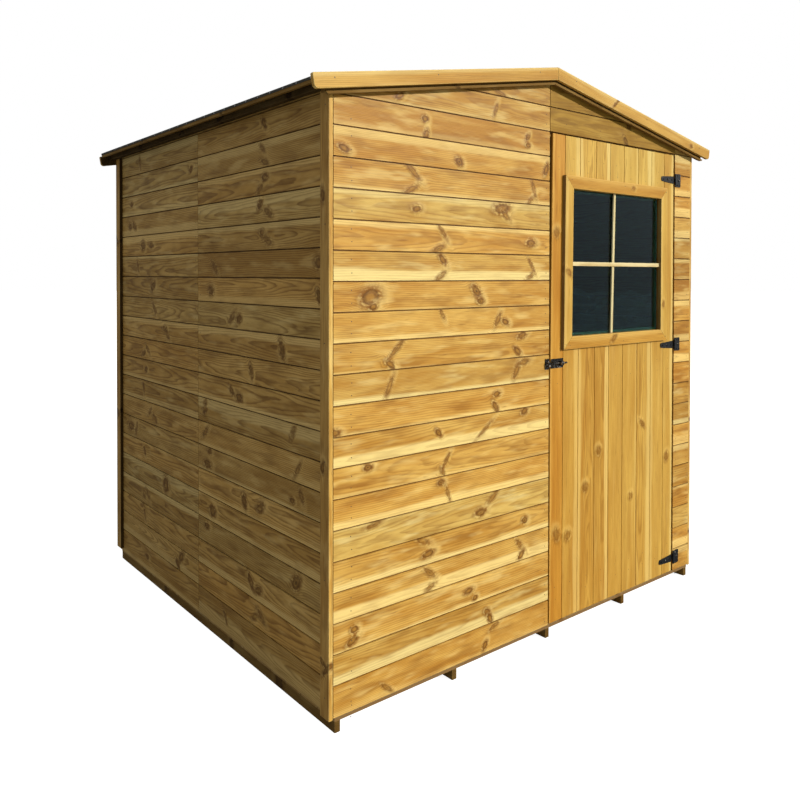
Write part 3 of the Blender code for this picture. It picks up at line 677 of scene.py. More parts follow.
def front_hand(k, rng):
    """Board k of the front-left panel, k = -1 for the sliver under the first full course."""
    i = min(max(k, 0), len(FRONT) - 1)
    tone, side, share, on, hue, spots = FRONT[i]
    cut = grain(rng, tone=tone, sap=(side, share, on), hue=hue)
    ks = [knot(cx * COURSE - 0.0070, (cv - 0.5) * COURSE, a / 1000, b / 1000, t, 0.72 if a > 2.4 * b else 1.0)
          for cx, cv, a, b, t in spots]
    return cut, ks


# the left wall, front panel and rear panel: whorls per board, bottom first, distances in courses from the front
LEFT_FRONT = [
    [(7.6, 0.5, 20, 7, 60)], [(4.7, 0.55, 24, 9, 35), (5.2, 0.35, 20, 8, -30)], [(4.9, 0.45, 18, 11, -20), (5.5, 0.6, 24, 10, 50)],
    [(2.25, 0.55, 26, 16, -50), (9.3, 0.72, 17, 9, 0)], [(8.75, 0.45, 20, 15, 0)], [(4.75, 0.55, 22, 12, -30), (6.0, 0.5, 20, 12, 70)],
    [(1.9, 0.6, 20, 8, 60), (2.5, 0.32, 11, 8, 0), (9.0, 0.85, 14, 8, 0), (9.2, 0.3, 24, 12, 0)],
    [(2.15, 0.45, 26, 7, -55), (9.4, 0.6, 26, 9, -40)], [(2.45, 0.7, 22, 9, -60), (9.45, 0.6, 20, 12, -70)], [(6.4, 0.4, 20, 12, 10), (7.05, 0.6, 18, 8, 40)],
    [(5.45, 0.5, 20, 9, 70)], [(3.2, 0.5, 26, 12, 70)], [(6.4, 0.42, 15, 11, -20), (7.0, 0.45, 28, 9, -40)], [(0.8, 0.4, 20, 10, 60), (8.85, 0.45, 17, 14, 0)],
    [(0.85, 0.5, 17, 15, 0), (8.5, 0.4, 28, 9, 48)], [(4.2, 0.35, 26, 10, 20), (4.6, 0.65, 14, 9, 0)], [(4.15, 0.35, 26, 10, 25), (4.75, 0.7, 18, 9, -50)],
    [(4.4, 0.65, 16, 10, 0), (4.75, 0.25, 22, 8, -40)], [(4.6, 0.75, 20, 7, 40), (4.4, 0.2, 22, 8, 20)], [(4.45, 0.6, 18, 8, 50)], [(4.3, 0.4, 16, 7, 40)],
]
LEFT_REAR = [
    [(15.9, 0.5, 16, 8, 0)], [(11.9, 0.65, 26, 11, -45), (12.3, 0.25, 18, 8, 40)], [(16.2, 0.5, 22, 7, 65)], [(15.8, 0.55, 24, 7, 45), (16.3, 0.4, 18, 7, 20)],
    [(13.6, 0.5, 26, 20, 80)], [(16.2, 0.6, 16, 8, 60)], [(17.3, 0.45, 26, 9, -70), (18.0, 0.5, 30, 14, 0)], [(14.9, 0.35, 26, 8, 30), (15.5, 0.6, 20, 7, -40)],
    [(16.3, 0.6, 22, 7, 70)], [(16.0, 0.55, 12, 9, 0)], [(15.8, 0.55, 24, 8, 40), (16.3, 0.3, 16, 8, -30)], [(13.4, 0.4, 24, 9, 45), (13.7, 0.65, 16, 8, 0)],
    [(14.9, 0.5, 26, 8, 50)], [(15.1, 0.55, 22, 12, -40)], [(17.0, 0.5, 24, 7, 70)], [(15.3, 0.5, 18, 9, 0), (16.35, 0.5, 19, 16, 0)], [(17.5, 0.5, 20, 10, 30), (18.05, 0.5, 16, 11, 0)],
    [(17.85, 0.6, 13, 9, 0)], [(10.8, 0.6, 14, 8, -30)], [(16.7, 0.5, 24, 7, 75)], [(15.0, 0.4, 16, 7, 40)],
]


def left_hand(rows, y1):
    def hand(k, rng):
        i = min(max(k, 0), len(rows) - 1)
        cut = grain(rng, tone=rng.gauss(0.0, 0.30), hue=rng.gauss(-0.1, 0.25), flat=rng.random() < 0.8)
        # distances run from the front; the board runs from its rear end forwards
        ks = [knot(y1 - (FACE + cy * COURSE), (cv - 0.5) * COURSE, a / 1000, b / 1000, -t, 0.75 if a > 2.4 * b else 1.0)
              for cy, cv, a, b, t in rows[i]]
        return cut, ks
    return hand


rng = random.Random(20)
wall(Timber(), (-HALF_W + 0.0016, FACE, 0), X, -Y, SEAM_X + HALF_W - 0.0030, FRONT_LINE, WALL_Z0, GABLE_TOP, rng,
     clips=[GABLE_L, GABLE_R], hand=front_hand).make("front_left_boards", "shed", "front", ["front_left_panel"], "front_cladding")

strip0, strip1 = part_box("front_right_strip")
wall(Timber(), (strip0.x, FACE, 0), X, -Y, strip1.x - strip0.x, FRONT_LINE, WALL_Z0, GABLE_TOP, random.Random(31),
     clips=[GABLE_R], hand=lambda k, g: (grain(g, tone=g.gauss(-0.45, 0.4), hue=g.gauss(0.4, 0.3)), None), every=0.30, big=0.9).make("front_strip_boards", "shed", "front", ["front_right_strip"], "front_cladding")

# the boards over the door take the shaded pine and a lower tone: painted shade under the verge and bargeboard
over0, over1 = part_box("over_door_panel")
wall(Timber(), (over0.x + 0.0014, FACE, 0), X, -Y, over1.x - over0.x - 0.0022, FRONT_LINE, over0.z, GABLE_TOP, random.Random(46),
     clips=[GABLE_R], hand=lambda k, g: (grain(g, tone=g.uniform(-0.4, 0.2), sap=(1, 0.1, 0.0), hue=-0.2), None), every=0.5).make("over_door_boards", "shed", "over", ["over_door_panel"], "front_cladding")

# the side and rear walls take the olive side pine, partly painted shade
for side, sx, hands in (("left", -1, (LEFT_FRONT, LEFT_REAR)), ("right", 1, (None, None))):
    for part, rows, seed in (("front", hands[0], 5), ("rear", hands[1], 9)):
        node = f"{side}_wall_{part}_panel"
        lo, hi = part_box(node)
        r = random.Random(seed * 10 + (3 if sx > 0 else 0))
        xface = sx * HALF_W
        y0, y1 = lo.y + (0.0 if part == "front" else 0.0008), hi.y - (0.0008 if part == "front" else 0.0)
        if sx < 0:
            start, along = (xface, y1, 0), -Y
        else:
            start, along = (xface, y0, 0), Y
        hand = left_hand(rows, y1) if rows else None
        wall(Timber(), start, along, X * sx, y1 - y0, SIDE_LINE, WALL_Z0, SIDE_TOP, r, hand=hand, every=0.5)\
            .make(f"{side}_{part}_boards", "shed", "side", [node], "side_cladding")

for side, seed in (("left", 71), ("right", 83)):
    node = f"rear_wall_{side}_panel"
    lo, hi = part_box(node)
    wall(Timber(), (hi.x, BACK, 0), -X, Y, hi.x - lo.x, FRONT_LINE, WALL_Z0, GABLE_TOP, random.Random(seed),
         clips=[GABLE_L if side == "left" else GABLE_R], every=0.45)\
        .make(f"rear_{side}_boards", "shed", "side", [node], "rear_cladding")


# ---------------------------------------------------------------- sticks from the CAD boxes
def upright(node, face, rng, material, slot, bevel=0.0018, name=None, every=0.5, body="shed", cut=None, knots=None,
            clips=(), painted_shade=0.0, alt=None):
    """A vertical timber that fills the node's box, its face towards face."""
    lo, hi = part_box(node)
    N = Vector(face)
    c = (lo + hi) / 2
    size = hi - lo
    deep = abs(size.dot(N))
    across = size.x if abs(N.y) > 0.5 else size.y
    origin = Vector((c.x, c.y, lo.z)) + N * (deep / 2)
    return Timber().stick(origin, Z, N, size.z, plank(across, deep), rng, bevel=bevel, every=every, cut=cut,
                          knots=knots, clips=clips, painted_shade=painted_shade, alt=alt).make(name or node + "_timber", body, material, [node], slot)


def level(node, along, face, rng, material, slot, bevel=0.0018, name=None, every=0.5, body="shed", clips=(), cut=None):
    """A horizontal timber that fills the node's box."""
    lo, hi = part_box(node)
    A, N = Vector(along), Vector(face)
    c, size = (lo + hi) / 2, hi - lo
    length, deep = abs(size.dot(A)), abs(size.dot(N))
    across = abs(size.dot(N.cross(A)))
    origin = c - A * (length / 2) + N * (deep / 2)
    return Timber().stick(origin, A, N, length, plank(across, deep), rng, bevel=bevel, every=every, clips=clips,
                          cut=cut).make(name or node + "_timber", body, material, [node], slot)


# the front trims' faces towards -Y take the lit front pine and their other faces the olive side pine, partly painted
# shade; the rear trims' faces towards -Y take the deep-shade pine, painted shade
for i, (node, face) in enumerate((("front_left_trim", -X), ("rear_left_trim", -X), ("front_right_trim", X), ("rear_right_trim", X))):
    r = random.Random(100 + i)
    upright(node, face, r, ["side", "front" if "front" in node else "deep"], "corner_trim", bevel=0.0012, every=0.6, alt=-Y,
            cut=grain(r, tone=-0.1 if i else 0.3, sap=(1, 0.0, 0.0), hue=0.2, flat=False))
for i, side in enumerate(("left", "right")):
    sx = -1 if side == "left" else 1
    for j, end in enumerate(("front", "rear")):
        upright(f"{end}_{side}_post", X * -sx, random.Random(120 + 2 * i + j), "sawn", "framing")
    level(f"{side}_wall_plate", Y, X * -sx, random.Random(130 + i), "sawn", "framing", clips=[GABLE_L if sx < 0 else GABLE_R])
    for n in range(1):
        lo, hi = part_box(f"{side}_eave_strip")
        r = random.Random(140 + i)
        t = Timber()
        for a, b in ((lo.y, 0.0 - 0.0006), (0.0006, hi.y)):
            along = -Y if sx < 0 else Y
            start = Vector((hi.x if sx > 0 else lo.x, b if sx < 0 else a, (lo.z + hi.z) / 2))
            t.stick(start, along, X * sx, b - a, plank(hi.z - lo.z, hi.x - lo.x), r, bevel=0.0012, every=0.7, big=0.5,
                    cut=grain(r, sap=(1, 0.0, 0.0)))
        # the left eave strip takes the dark shaded pine, painted shade; the right one the olive batten pine
        t.make(f"{side}_eave_strip_timber", "shed", "eave" if sx < 0 else "batten", [f"{side}_eave_strip"], "eave_strip")
upright("latch_jamb", -Y, random.Random(151), "sawn", "framing")
upright("hinge_jamb", -Y, random.Random(152), "sawn", "framing")
level("door_head", X, -Y, random.Random(153), "sawn", "framing")
level("ridge_beam", Y, X, random.Random(154), "sawn", "framing", clips=[GABLE_L, GABLE_R])
for i in range(1, 6):
    r = random.Random(160 + i)
    level(f"floor_bearer_{i}", Y, Z, r, "bearer", "floor_bearer", bevel=0.0012, cut=grain(r, sap=(1, 0, 0)))

# floor boards run across the shed, over the bearers
lo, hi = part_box("floor_deck")
t, r = Timber(), random.Random(170)
pitch, y = (hi.y - lo.y) / 19, lo.y
for i in range(19):
    tongue, groove = i < 18, i > 0
    t.stick((hi.x, y + pitch / 2, hi.z), -X, Z, hi.x - lo.x,
            [(-a, w) for a, w in tongued(pitch, hi.z - lo.z, tongue, groove, 0.0010, 0.0008)][::-1], r, every=0.5)
    y += pitch
t.make("floor_board_set", "shed", "floor", ["floor_deck"], "floor_boards")

# ---------------------------------------------------------------- bargeboards and verge battens
for end, sy in (("front", -1), ("rear", 1)):
    for side, sx in (("left", -1), ("right", 1)):
        down = DOWN_L if sx < 0 else DOWN_R
        up = UP_L if sx < 0 else UP_R
        middle = (Vector((sx * 0.00025, 0, 0)), X * -sx)
        for kind, mat, slot, bevel in (("bargeboard", "barge", "bargeboard", 0.0020), ("verge_batten", "batten", "verge_batten", 0.0016)):
            node = f"{end}_{side}_{kind}"
            lo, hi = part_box(node)
            r = random.Random(200 + 7 * sx + 3 * sy + (1 if kind == "bargeboard" else 0))
            top = hi.z                                        # on the centre line
            tall = 0.044 if kind == "bargeboard" else hi.z - 22.38 * COURSE
            wide = tall / NORM                                # across the slope
            tip = sx * max(abs(lo.x), abs(hi.x))
            y_face = lo.y if sy < 0 else hi.y
            deep = hi.y - lo.y
            along = down if (sy < 0) == (sx > 0) else -down
            length = (abs(tip) + 0.02) * NORM
            centre_top = Vector((0, y_face, top)) - up * (wide / 2)
            start = centre_top if along == down else centre_top + down * length
            if along == down:
                start = start - down * 0.02
                length += 0.02
            else:
                length += 0.02
            # square-cut end; its lower corner is rounded
            end_n = down if kind == "bargeboard" else X * sx
            ref = Vector((tip, 0, top - SLOPE * abs(tip)))
            clips = [middle, (ref, end_n)]
            radius = 0.013 if kind == "bargeboard" else 0.011
            low_corner = ref - up * wide if kind == "bargeboard" else ref - Z * tall
            inward = -down if kind == "bargeboard" else (-down)
            if kind == "bargeboard":
                c = low_corner + up * radius - down * radius
                for q in (15, 38, 60, 80):
                    a = math.radians(q)
                    n = (down * math.cos(a) - up * math.sin(a)).normalized()
                    clips.append((c + n * radius, n))
                c2 = ref - down * 0.005 - up * 0.005
                for q in (30, 60):
                    a = math.radians(q)
                    n = (down * math.cos(a) + up * math.sin(a)).normalized()
                    clips.append((c2 + n * 0.005, n))
            else:
                ang = math.acos(max(-1, min(1, (X * sx).dot(-up))))
                # centre of a circle tangent to the plumb end and to the lower edge
                e1, e2 = Z.copy(), -down
                half = e1.angle(e2) / 2
                c = low_corner + (e1 + e2).normalized() * (radius / math.sin(half))
                for q in (0.2, 0.4, 0.6, 0.8):
                    n = ((X * sx) * math.sin((1 - q) * ang) + (-up) * math.sin(q * ang)) / math.sin(ang)
                    n.normalize()
                    clips.append((c + n * radius, n))
            cut = grain(r, tone=-0.2 if kind == "bargeboard" else 0.15, sap=(1, 0.25, 0.5), hue=0.2 if kind == "bargeboard" else 0.1, flat=False)
            spots = None
            if end == "front" and kind == "bargeboard":
                spots = ([knot(0.365, 0.004, 0.022, 0.0045, 50), knot(0.905, -0.004, 0.009, 0.006, 10)] if sx > 0 else
                         [])
            outline = plank(wide, deep)
            if kind == "verge_batten":
                # rebated above the strip that shows, and undercut behind it
                h, lit = wide / 2, 0.0082
                outline = [(-h, 0.0), (-h + lit, 0.0), (-h + lit, -0.0085), (h, -0.0085), (h, -deep),
                           (-h + 0.0066, -deep), (-h + 0.0066, -0.0115), (-h, -0.0115)]
                bevel = 0.0008
            # the front verge battens take the dark shaded pine and the rear-left one the near-black deep-shade pine,
            # painted shade; on the rear bargeboards and battens the faces towards -Y take the deep-shade pine, painted
            # shade too
            Timber().stick(start, along, Y * sy, length, outline, r, cut=cut, clips=clips, bevel=bevel, painted_shade=0.001,
                           every=0.62, big=0.8, knots=spots, alt=-Y if end == "rear" else None)\
                .make(node + "_timber", "shed", [{("front", "left", "verge_batten"): "eave", ("front", "right", "verge_batten"): "eave",
                                                  ("rear", "left", "verge_batten"): "deep"}
                                                 .get((end, side, kind), mat), "deep"], [node], slot)

# ---------------------------------------------------------------- roof boards
for side, sx, up, down in (("left", -1, UP_L, DOWN_L), ("right", 1, UP_R, DOWN_R)):
    node = f"{side}_roof_panel"
    lo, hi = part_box(node)
    thick = (hi.z - (lo.z + SLOPE * (max(abs(lo.x), abs(hi.x))))) / NORM
    run = max(abs(lo.x), abs(hi.x)) * NORM
    r = random.Random(300 + sx)
    t = Timber()
    count = 10
    pitch = run / count
    top = Vector((0, 0, hi.z))
    for i in range(count):
        mid = top + down * (pitch * (i + 0.5))
        outline = tongued(pitch, thick, i < count - 1, i > 0, 0.0016, 0.0014)
        # the V joints face down into the shed
        along = Y if sx > 0 else -Y
        V = (-up).cross(along)
        if V.dot(down) < 0:
            outline = [(-a, w) for a, w in outline][::-1]
        start = mid - up * thick + Vector((0, lo.y if sx > 0 else hi.y, 0))
        t.stick(start, along, -up, hi.y - lo.y, outline, r, every=0.5,
                clips=[(Vector((sx * 0.0002, 0, 0)), X * -sx)] if i == 0 else [(Vector((sx * 0.98095, 0, 0)), X * sx)] if i == count - 1 else [])
    t.make(f"{side}_roof_board_set", "shed", "sawn", [node], "roof_boards")

# ---------------------------------------------------------------- felt
flo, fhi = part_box("roof_felt")
DECK_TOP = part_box("left_roof_panel")[1].z


def felt_sheet(name, path, y0, y1, thick, rng, wave, nodes=()):
    """A sheet bent over a path of (x, z, nx, nz), with slow waves, closed all round."""
    ny = 56
    phases = [(rng.uniform(3, 14), rng.uniform(2, 9), rng.uniform(0, 6.28), rng.uniform(0.3, 1)) for _ in range(7)]
    dist = [0.0]
    for a, b in zip(path, path[1:]):
        dist.append(dist[-1] + math.hypot(b[0] - a[0], b[1] - a[1]))

    def lift(s, y):
        total = sum(w * math.sin(fs * s + fy * y + ph) for fs, fy, ph, w in phases) / 4.0
        return wave * 0.5 * (1 + max(-1.0, min(1.0, total)))

    bm = bmesh.new()
    top, low = [], []
    for i, (px, pz, nx, nz) in enumerate(path):
        rt, rl = [], []
        for j in range(ny + 1):
            y = y0 + (y1 - y0) * j / ny
            e = lift(dist[i], y)
            rl.append(bm.verts.new((px, y, pz)))
            rt.append(bm.verts.new((px + nx * (thick + e), y, pz + nz * (thick + e))))
        top.append(rt)
        low.append(rl)
    m = len(path)
    for i in range(m - 1):
        for j in range(ny):
            bm.faces.new((top[i][j], top[i + 1][j], top[i + 1][j + 1], top[i][j + 1]))
            bm.faces.new((low[i][j + 1], low[i + 1][j + 1], low[i + 1][j], low[i][j]))
    for j in range(ny):
        bm.faces.new((low[0][j], top[0][j], top[0][j + 1], low[0][j + 1]))
        bm.faces.new((top[-1][j], low[-1][j], low[-1][j + 1], top[-1][j + 1]))
    for i in range(m - 1):
        bm.faces.new((low[i][0], low[i + 1][0], top[i + 1][0], top[i][0]))
        bm.faces.new((top[i][ny], top[i + 1][ny], low[i + 1][ny], low[i][ny]))
    bmesh.ops.recalc_face_normals(bm, faces=bm.faces)
    me = bpy.data.meshes.new(name)
    bm.to_mesh(me)
    bm.free()
    me.shade_smooth()
    me.set_sharp_from_angle(angle=math.radians(40))
    me.materials.append(MAT["felt"])
    return place(name, me, "shed", nodes)


def slope_path(sx, x0, x1, rise, steps, lip=None):
    """Points up the slope from x0 to x1, rise above the roof boards, with an optional turned-down lip."""
    up = UP_R if sx > 0 else UP_L
    out = []
    for i in range(steps + 1):
        x = x0 + (x1 - x0) * i / steps
        base = Vector((sx * x, 0, DECK_TOP - SLOPE * x)) + up * rise
        out.append((base.x, base.z, up.x, up.z))
    if lip:
        lx, bottom = lip
        top = out[-1][1] - 0.0012
        diag = Vector((up.x + sx, 0, up.z)).normalized()
        out[-1] = (sx * lx, DECK_TOP - SLOPE * lx + rise, diag.x, diag.z)
        for i in range(1, 4):
            out.append((sx * lx, top + (bottom - top) * i / 3, sx, 0.0))
    return out


eave_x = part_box("right_eave_strip")[1].x
for side, sx in (("left", -1), ("right", 1)):
    path = slope_path(sx, 0.012, eave_x + 0.0003, 0.0003, 44, lip=(eave_x + 0.0003, flo.z))
    felt_sheet(f"{side}_felt_sheet", path, flo.y, fhi.y, 0.0011, random.Random(400 + sx), 0.0005,
               ["roof_felt"] if sx < 0 else [])
cap = [(p[0], p[1], p[2], p[3]) for p in reversed(slope_path(-1, 0.0, 0.150, 0.0020, 12)[1:])]
cap.append((0.0, DECK_TOP + 0.0020, 0.0, 1.0))
cap += slope_path(1, 0.0, 0.150, 0.0020, 12)[1:]
felt_sheet("ridge_felt_cap", cap, flo.y + 0.0005, fhi.y - 0.0005, 0.0010, random.Random(410), 0.0006)


# ---------------------------------------------------------------- small metal pieces
class Bits:
    """Nail heads, screws and bolts gathered into one mesh."""

    def __init__(self):
        self.bm = bmesh.new()

    def turned(self, point, normal, profile, sides=12, spin=0.0):
        """A lathe of (radius, height) about normal at point, closed at both ends."""
        N = Vector(normal).normalized()
        A = N.orthogonal().normalized()
        A = Matrix.Rotation(spin, 3, N) @ A
        B = N.cross(A)
        rings = []
        for rad, h in profile:
            rings.append([self.bm.verts.new(Vector(point) + N * h + (A * math.cos(2 * math.pi * i / sides) + B * math.sin(2 * math.pi * i / sides)) * rad)
                          for i in range(sides)])
        for r0, r1 in zip(rings, rings[1:]):
            for i in range(sides):
                j = (i + 1) % sides
                self.bm.faces.new((r0[i], r0[j], r1[j], r1[i]))
        self.bm.faces.new(rings[0][::-1])
        self.bm.faces.new(rings[-1])
        return self

    def nail(self, point, normal, r=0.0021, h=0.0004):
        return self.turned(point, normal, [(r * 0.9, -0.0012), (r, h * 0.3), (r * 0.86, h), (r * 0.45, h * 1.25)], 10)

    def screw(self, point, normal, r=0.0034, h=0.0016, spin=0.6):
        """A slotted pan head: a turned base with two raised halves either side of the slot."""
        self.turned(point, normal, [(r * 0.92, -0.0003), (r, 0.0001), (r, h * 0.45), (r * 0.97, h * 0.55)], 18)
        N = Vector(normal).normalized()
        A = Matrix.Rotation(spin, 3, N) @ N.orthogonal().normalized()
        B = N.cross(A)
        gap = r * 0.13
        for sgn in (1, -1):
            lo, hi = [], []
            for i in range(11):
                a = math.asin(gap / r) + (math.pi - 2 * math.asin(gap / r)) * i / 10
                for out, rad, h0 in ((lo, r * 0.965, h * 0.50), (hi, r * 0.80, h)):
                    s0 = math.asin(gap / rad)
                    a = s0 + (math.pi - 2 * s0) * i / 10
                    out.append(self.bm.verts.new(Vector(point) + N * h0 + (A * math.cos(a) + B * math.sin(a) * 1.0) * rad * 1.0 if sgn > 0
                                                 else Vector(point) + N * h0 - (A * math.cos(a) + B * math.sin(a)) * rad))
            n = len(lo)
            for i in range(n):
                j = (i + 1) % n
                self.bm.faces.new((lo[i], lo[j], hi[j], hi[i]))
            self.bm.faces.new(lo[::-1])
            self.bm.faces.new(hi)
        return self

    def bolt_head(self, point, normal, r=0.0052, h=0.0030):
        """A domed coach-bolt head."""
        prof = [(r * 0.95, -0.0003)]
        for i in range(6):
            a = i / 5 * math.pi / 2
            prof.append((r * max(math.cos(a), 0.06), h * math.sin(a)))
        return self.turned(point, normal, prof, 20)

    def make(self, name, body, material, slot=None):
        bmesh.ops.recalc_face_normals(self.bm, faces=self.bm.faces)
        me = bpy.data.meshes.new(name)
        self.bm.to_mesh(me)
        self.bm.free()
        me.shade_smooth()
        me.set_sharp_from_angle(angle=math.radians(32))
        me.materials.append(MAT[material])
        return place(name, me, body, ())


# ---------------------------------------------------------------- door
dlo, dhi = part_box("door_leaf")
flo_w, fhi_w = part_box("door_window_frame")
arch = 0.046
hx0, hx1, hz0, hz1 = flo_w.x + arch, fhi_w.x - arch, flo_w.z + arch, fhi_w.z - arch
joints = [dlo.x, 0.0770, 0.1650, 0.2630, 0.3510, 0.4420, 0.5380, 0.6340, 0.7260, dhi.x]
t, r = Timber(), random.Random(505)
# (tone, sapwood edge, share, strength, hue, knots as (height, across 0..1 from the right edge, a, b, tilt))
DOOR = [
    (-0.30, 1, 0.12, 0.5, 1.4, [(0.36, 0.55, 20, 14, 20), (1.45, 0.4, 14, 12, 0)]),
    (0.05, -1, 0.30, 0.6, 0.2, [(0.345, 0.35, 15, 14, 0)]),
    (-0.25, 1, 0.22, 0.7, 0.3, [(0.505, 0.45, 14, 13, 10)]),
    (-0.20, -1, 0.30, 0.8, 0.2, [(0.63, 0.3, 14, 12, 0)]),
    (0.15, 1, 0.10, 0.3, 0.0, []),
    (0.25, -1, 0.15, 0.4, -0.1, [(0.42, 0.6, 12, 10, 0)]),
    (0.10, -1, 0.32, 0.7, -0.1, [(0.70, 0.4, 20, 8, 50)]),
    (0.20, 1, 0.20, 0.5, -0.1, []),
    (0.25, -1, 0.30, 0.8, -0.2, [(0.54, 0.4, 16, 12, -15)]),
]
for i, (a, b) in enumerate(zip(joints, joints[1:])):
    tone, side, share, on, hue, spots = DOOR[i]
    width = b - a
    cut = grain(r, tone=tone, sap=(side, share, on), hue=hue, flat=i in (2, 3, 6))
    cut["lean"] *= 0.45
    ks = [knot(h - dlo.z, (0.5 - c) * width, aa / 1000, bb / 1000, tt, 0.85) for h, c, aa, bb, tt in spots]
    first, last = i == 0, i == 8
    # v runs towards -X: the tongue is on the left edge, the groove on the right
    outline = tongued(width, 0.012, tongue=not first, groove=not last, chamfer=0.0017, gap=0.0009)
    origin = Vector(((a + b) / 2, FACE, dlo.z))
    clear = (0.0 if first or last else 1.0)
    spans = []
    if b <= hx0 + 1e-4 or a >= hx1 - 1e-4:
        t.stick(origin, Z, -Y, dhi.z - dlo.z, outline, r, cut=cut, knots=ks)
        continue
    for z0, z1 in ((dlo.z, hz0), (hz1, dhi.z)):
        # the piece above the window is paler and less orange, painted light: the top of the door catches more light
        painted_light_cut = dict(cut, tone=cut["tone"] + 0.7, hue=cut["hue"] - 0.7) if z0 == hz1 else cut
        t.stick(origin, Z, -Y, dhi.z - dlo.z, outline, r, cut=painted_light_cut, knots=ks,
                clips=[(Vector((0, 0, z0)), -Z), (Vector((0, 0, z1)), Z)])
    if a < hx0:
        t.stick(origin, Z, -Y, dhi.z - dlo.z, outline, r, cut=cut, knots=ks,
                clips=[(Vector((0, 0, hz0 + 1e-4)), -Z), (Vector((0, 0, hz1 - 1e-4)), Z), (Vector((hx0, 0, 0)), X)])
    if b > hx1:
        t.stick(origin, Z, -Y, dhi.z - dlo.z, outline, r, cut=cut, knots=ks,
                clips=[(Vector((0, 0, hz0 + 1e-4)), -Z), (Vector((0, 0, hz1 - 1e-4)), Z), (Vector((hx1, 0, 0)), -X)])
t.make("door_board_set", "door", "door", ["door_leaf"], "door_boards")

# ledges and braces behind the door boards
t, r = Timber(), random.Random(520)
back_y = dhi.y + 0.0003
LEDGE_X0, LEDGE_X1 = 0.058, 0.748
for z in (0.150, 0.930, 1.700):
    t.stick((LEDGE_X1, back_y + 0.018, z), -X, Y, LEDGE_X1 - LEDGE_X0, plank(0.068, 0.018), r, bevel=0.0016)
p0, p1 = Vector((LEDGE_X1 - 0.040, 0, 0.186)), Vector((LEDGE_X0 + 0.050, 0, 0.894))
brace = (p1 - p0).normalized()
t.stick(Vector((p0.x, back_y + 0.0175, p0.z)) - brace * 0.06, brace, Y, (p1 - p0).length + 0.12, plank(0.060, 0.0175), r, bevel=0.0,
        clips=[(Vector((0, 0, 0.1843)), -Z), (Vector((0, 0, 0.8957)), Z)])
t.make("door_ledges", "door", "sawn", (), "framing")

# architrave: four mitred members
t, r = Timber(), random.Random(531)
y_face, deep = flo_w.y, fhi_w.y - flo_w.y
cx, cz = (flo_w.x + fhi_w.x) / 2, (flo_w.z + fhi_w.z) / 2
corners = {"bl": Vector((flo_w.x, 0, flo_w.z)), "br": Vector((fhi_w.x, 0, flo_w.z)),
           "tl": Vector((flo_w.x, 0, fhi_w.z)), "tr": Vector((fhi_w.x, 0, fhi_w.z))}
D1, D2 = Vector((1, 0, 1)).normalized(), Vector((1, 0, -1)).normalized()
profile = [(-0.023, -deep), (-0.023, -0.0016), (-0.0224, -0.0005), (-0.0212, 0.0), (0.0212, 0.0), (0.0224, -0.0005), (0.023, -0.0016), (0.023, -deep)][::-1]
members = [
    ("bottom", Vector((flo_w.x, y_face, flo_w.z + arch / 2)), X, fhi_w.x - flo_w.x,
     [(corners["bl"] + D1 * 0.0, (Vector((-1, 0, 1))).normalized()), (corners["br"], Vector((1, 0, 1)).normalized())],
     [(0.30, 0.005, 20, 8, 40)]),
    ("top", Vector((flo_w.x, y_face, fhi_w.z - arch / 2)), X, fhi_w.x - flo_w.x,
     [(corners["tl"], (Vector((-1, 0, -1))).normalized()), (corners["tr"], Vector((1, 0, -1)).normalized())],
     [(0.42, 0.004, 10, 6, 0)]),
    ("left", Vector((flo_w.x + arch / 2, y_face, flo_w.z)), Z, fhi_w.z - flo_w.z,
     [(corners["bl"], (Vector((1, 0, -1))).normalized()), (corners["tl"], Vector((1, 0, 1)).normalized())],
     [(0.28, 0.0, 17, 8, 55)]),
    ("right", Vector((fhi_w.x - arch / 2, y_face, flo_w.z)), Z, fhi_w.z - flo_w.z,
     [(corners["br"], (Vector((-1, 0, -1))).normalized()), (corners["tr"], Vector((-1, 0, 1)).normalized())],
     [(0.15, 0.004, 12, 7, 0)]),
]
for k, (label, start, along, length, clips, spots) in enumerate(members):
    cut = grain(r, tone=-0.15 if label in ("bottom", "top") else 0.65, sap=(1, 0.35, 0.4), hue=0.6 if label in ("bottom", "top") else -0.3, flat=False)
    # the faces towards -X take the dark shaded pine: painted shade
    t.stick(start, along, -Y, length, profile, r, cut=cut, painted_shade=0.001, alt=-X, clips=[(p + n * -0.0003, n) for p, n in clips],
            knots=[knot(u, v, a / 1000, b / 1000, tl, 0.8) for u, v, a, b, tl in spots])
t.make("window_architrave", "door", ["door", "eave"], ["door_window_frame"], "window_frame")

# lining of the opening inside the door, and the glazing bars on the glass
glo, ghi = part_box("door_window_glass")
t, r = Timber(), random.Random(540)
lean = math.radians(1.3)
bar_y = glo.y - 0.0004
up_bar = Vector((math.sin(lean), 0, math.cos(lean)))
mid_x, mid_z = 0.3760, 1.3400
low_pt = Vector((mid_x, bar_y - 0.0060, mid_z)) - up_bar * 0.30
t.stick(low_pt, up_bar, -Y, 0.60, plank(0.0125, 0.0058), r, bevel=0.0008, knots=[], cut=grain(r, tone=0.6, sap=(1, 0.5, 0.8), hue=-1.2, flat=False),
        clips=[(Vector((0, 0, hz0 + 0.0004)), -Z), (Vector((0, 0, hz1 - 0.0004)), Z)])
t.stick((hx0 + 0.0004, bar_y - 0.0118, mid_z), X, -Y, hx1 - hx0 - 0.0008, plank(0.0150, 0.0056), r, bevel=0.0008, knots=[],
        cut=grain(r, tone=0.9, sap=(1, 0.6, 0.9), hue=-0.6, flat=False))
t.make("window_glazing_bars", "door", "bar", (), "window_frame")

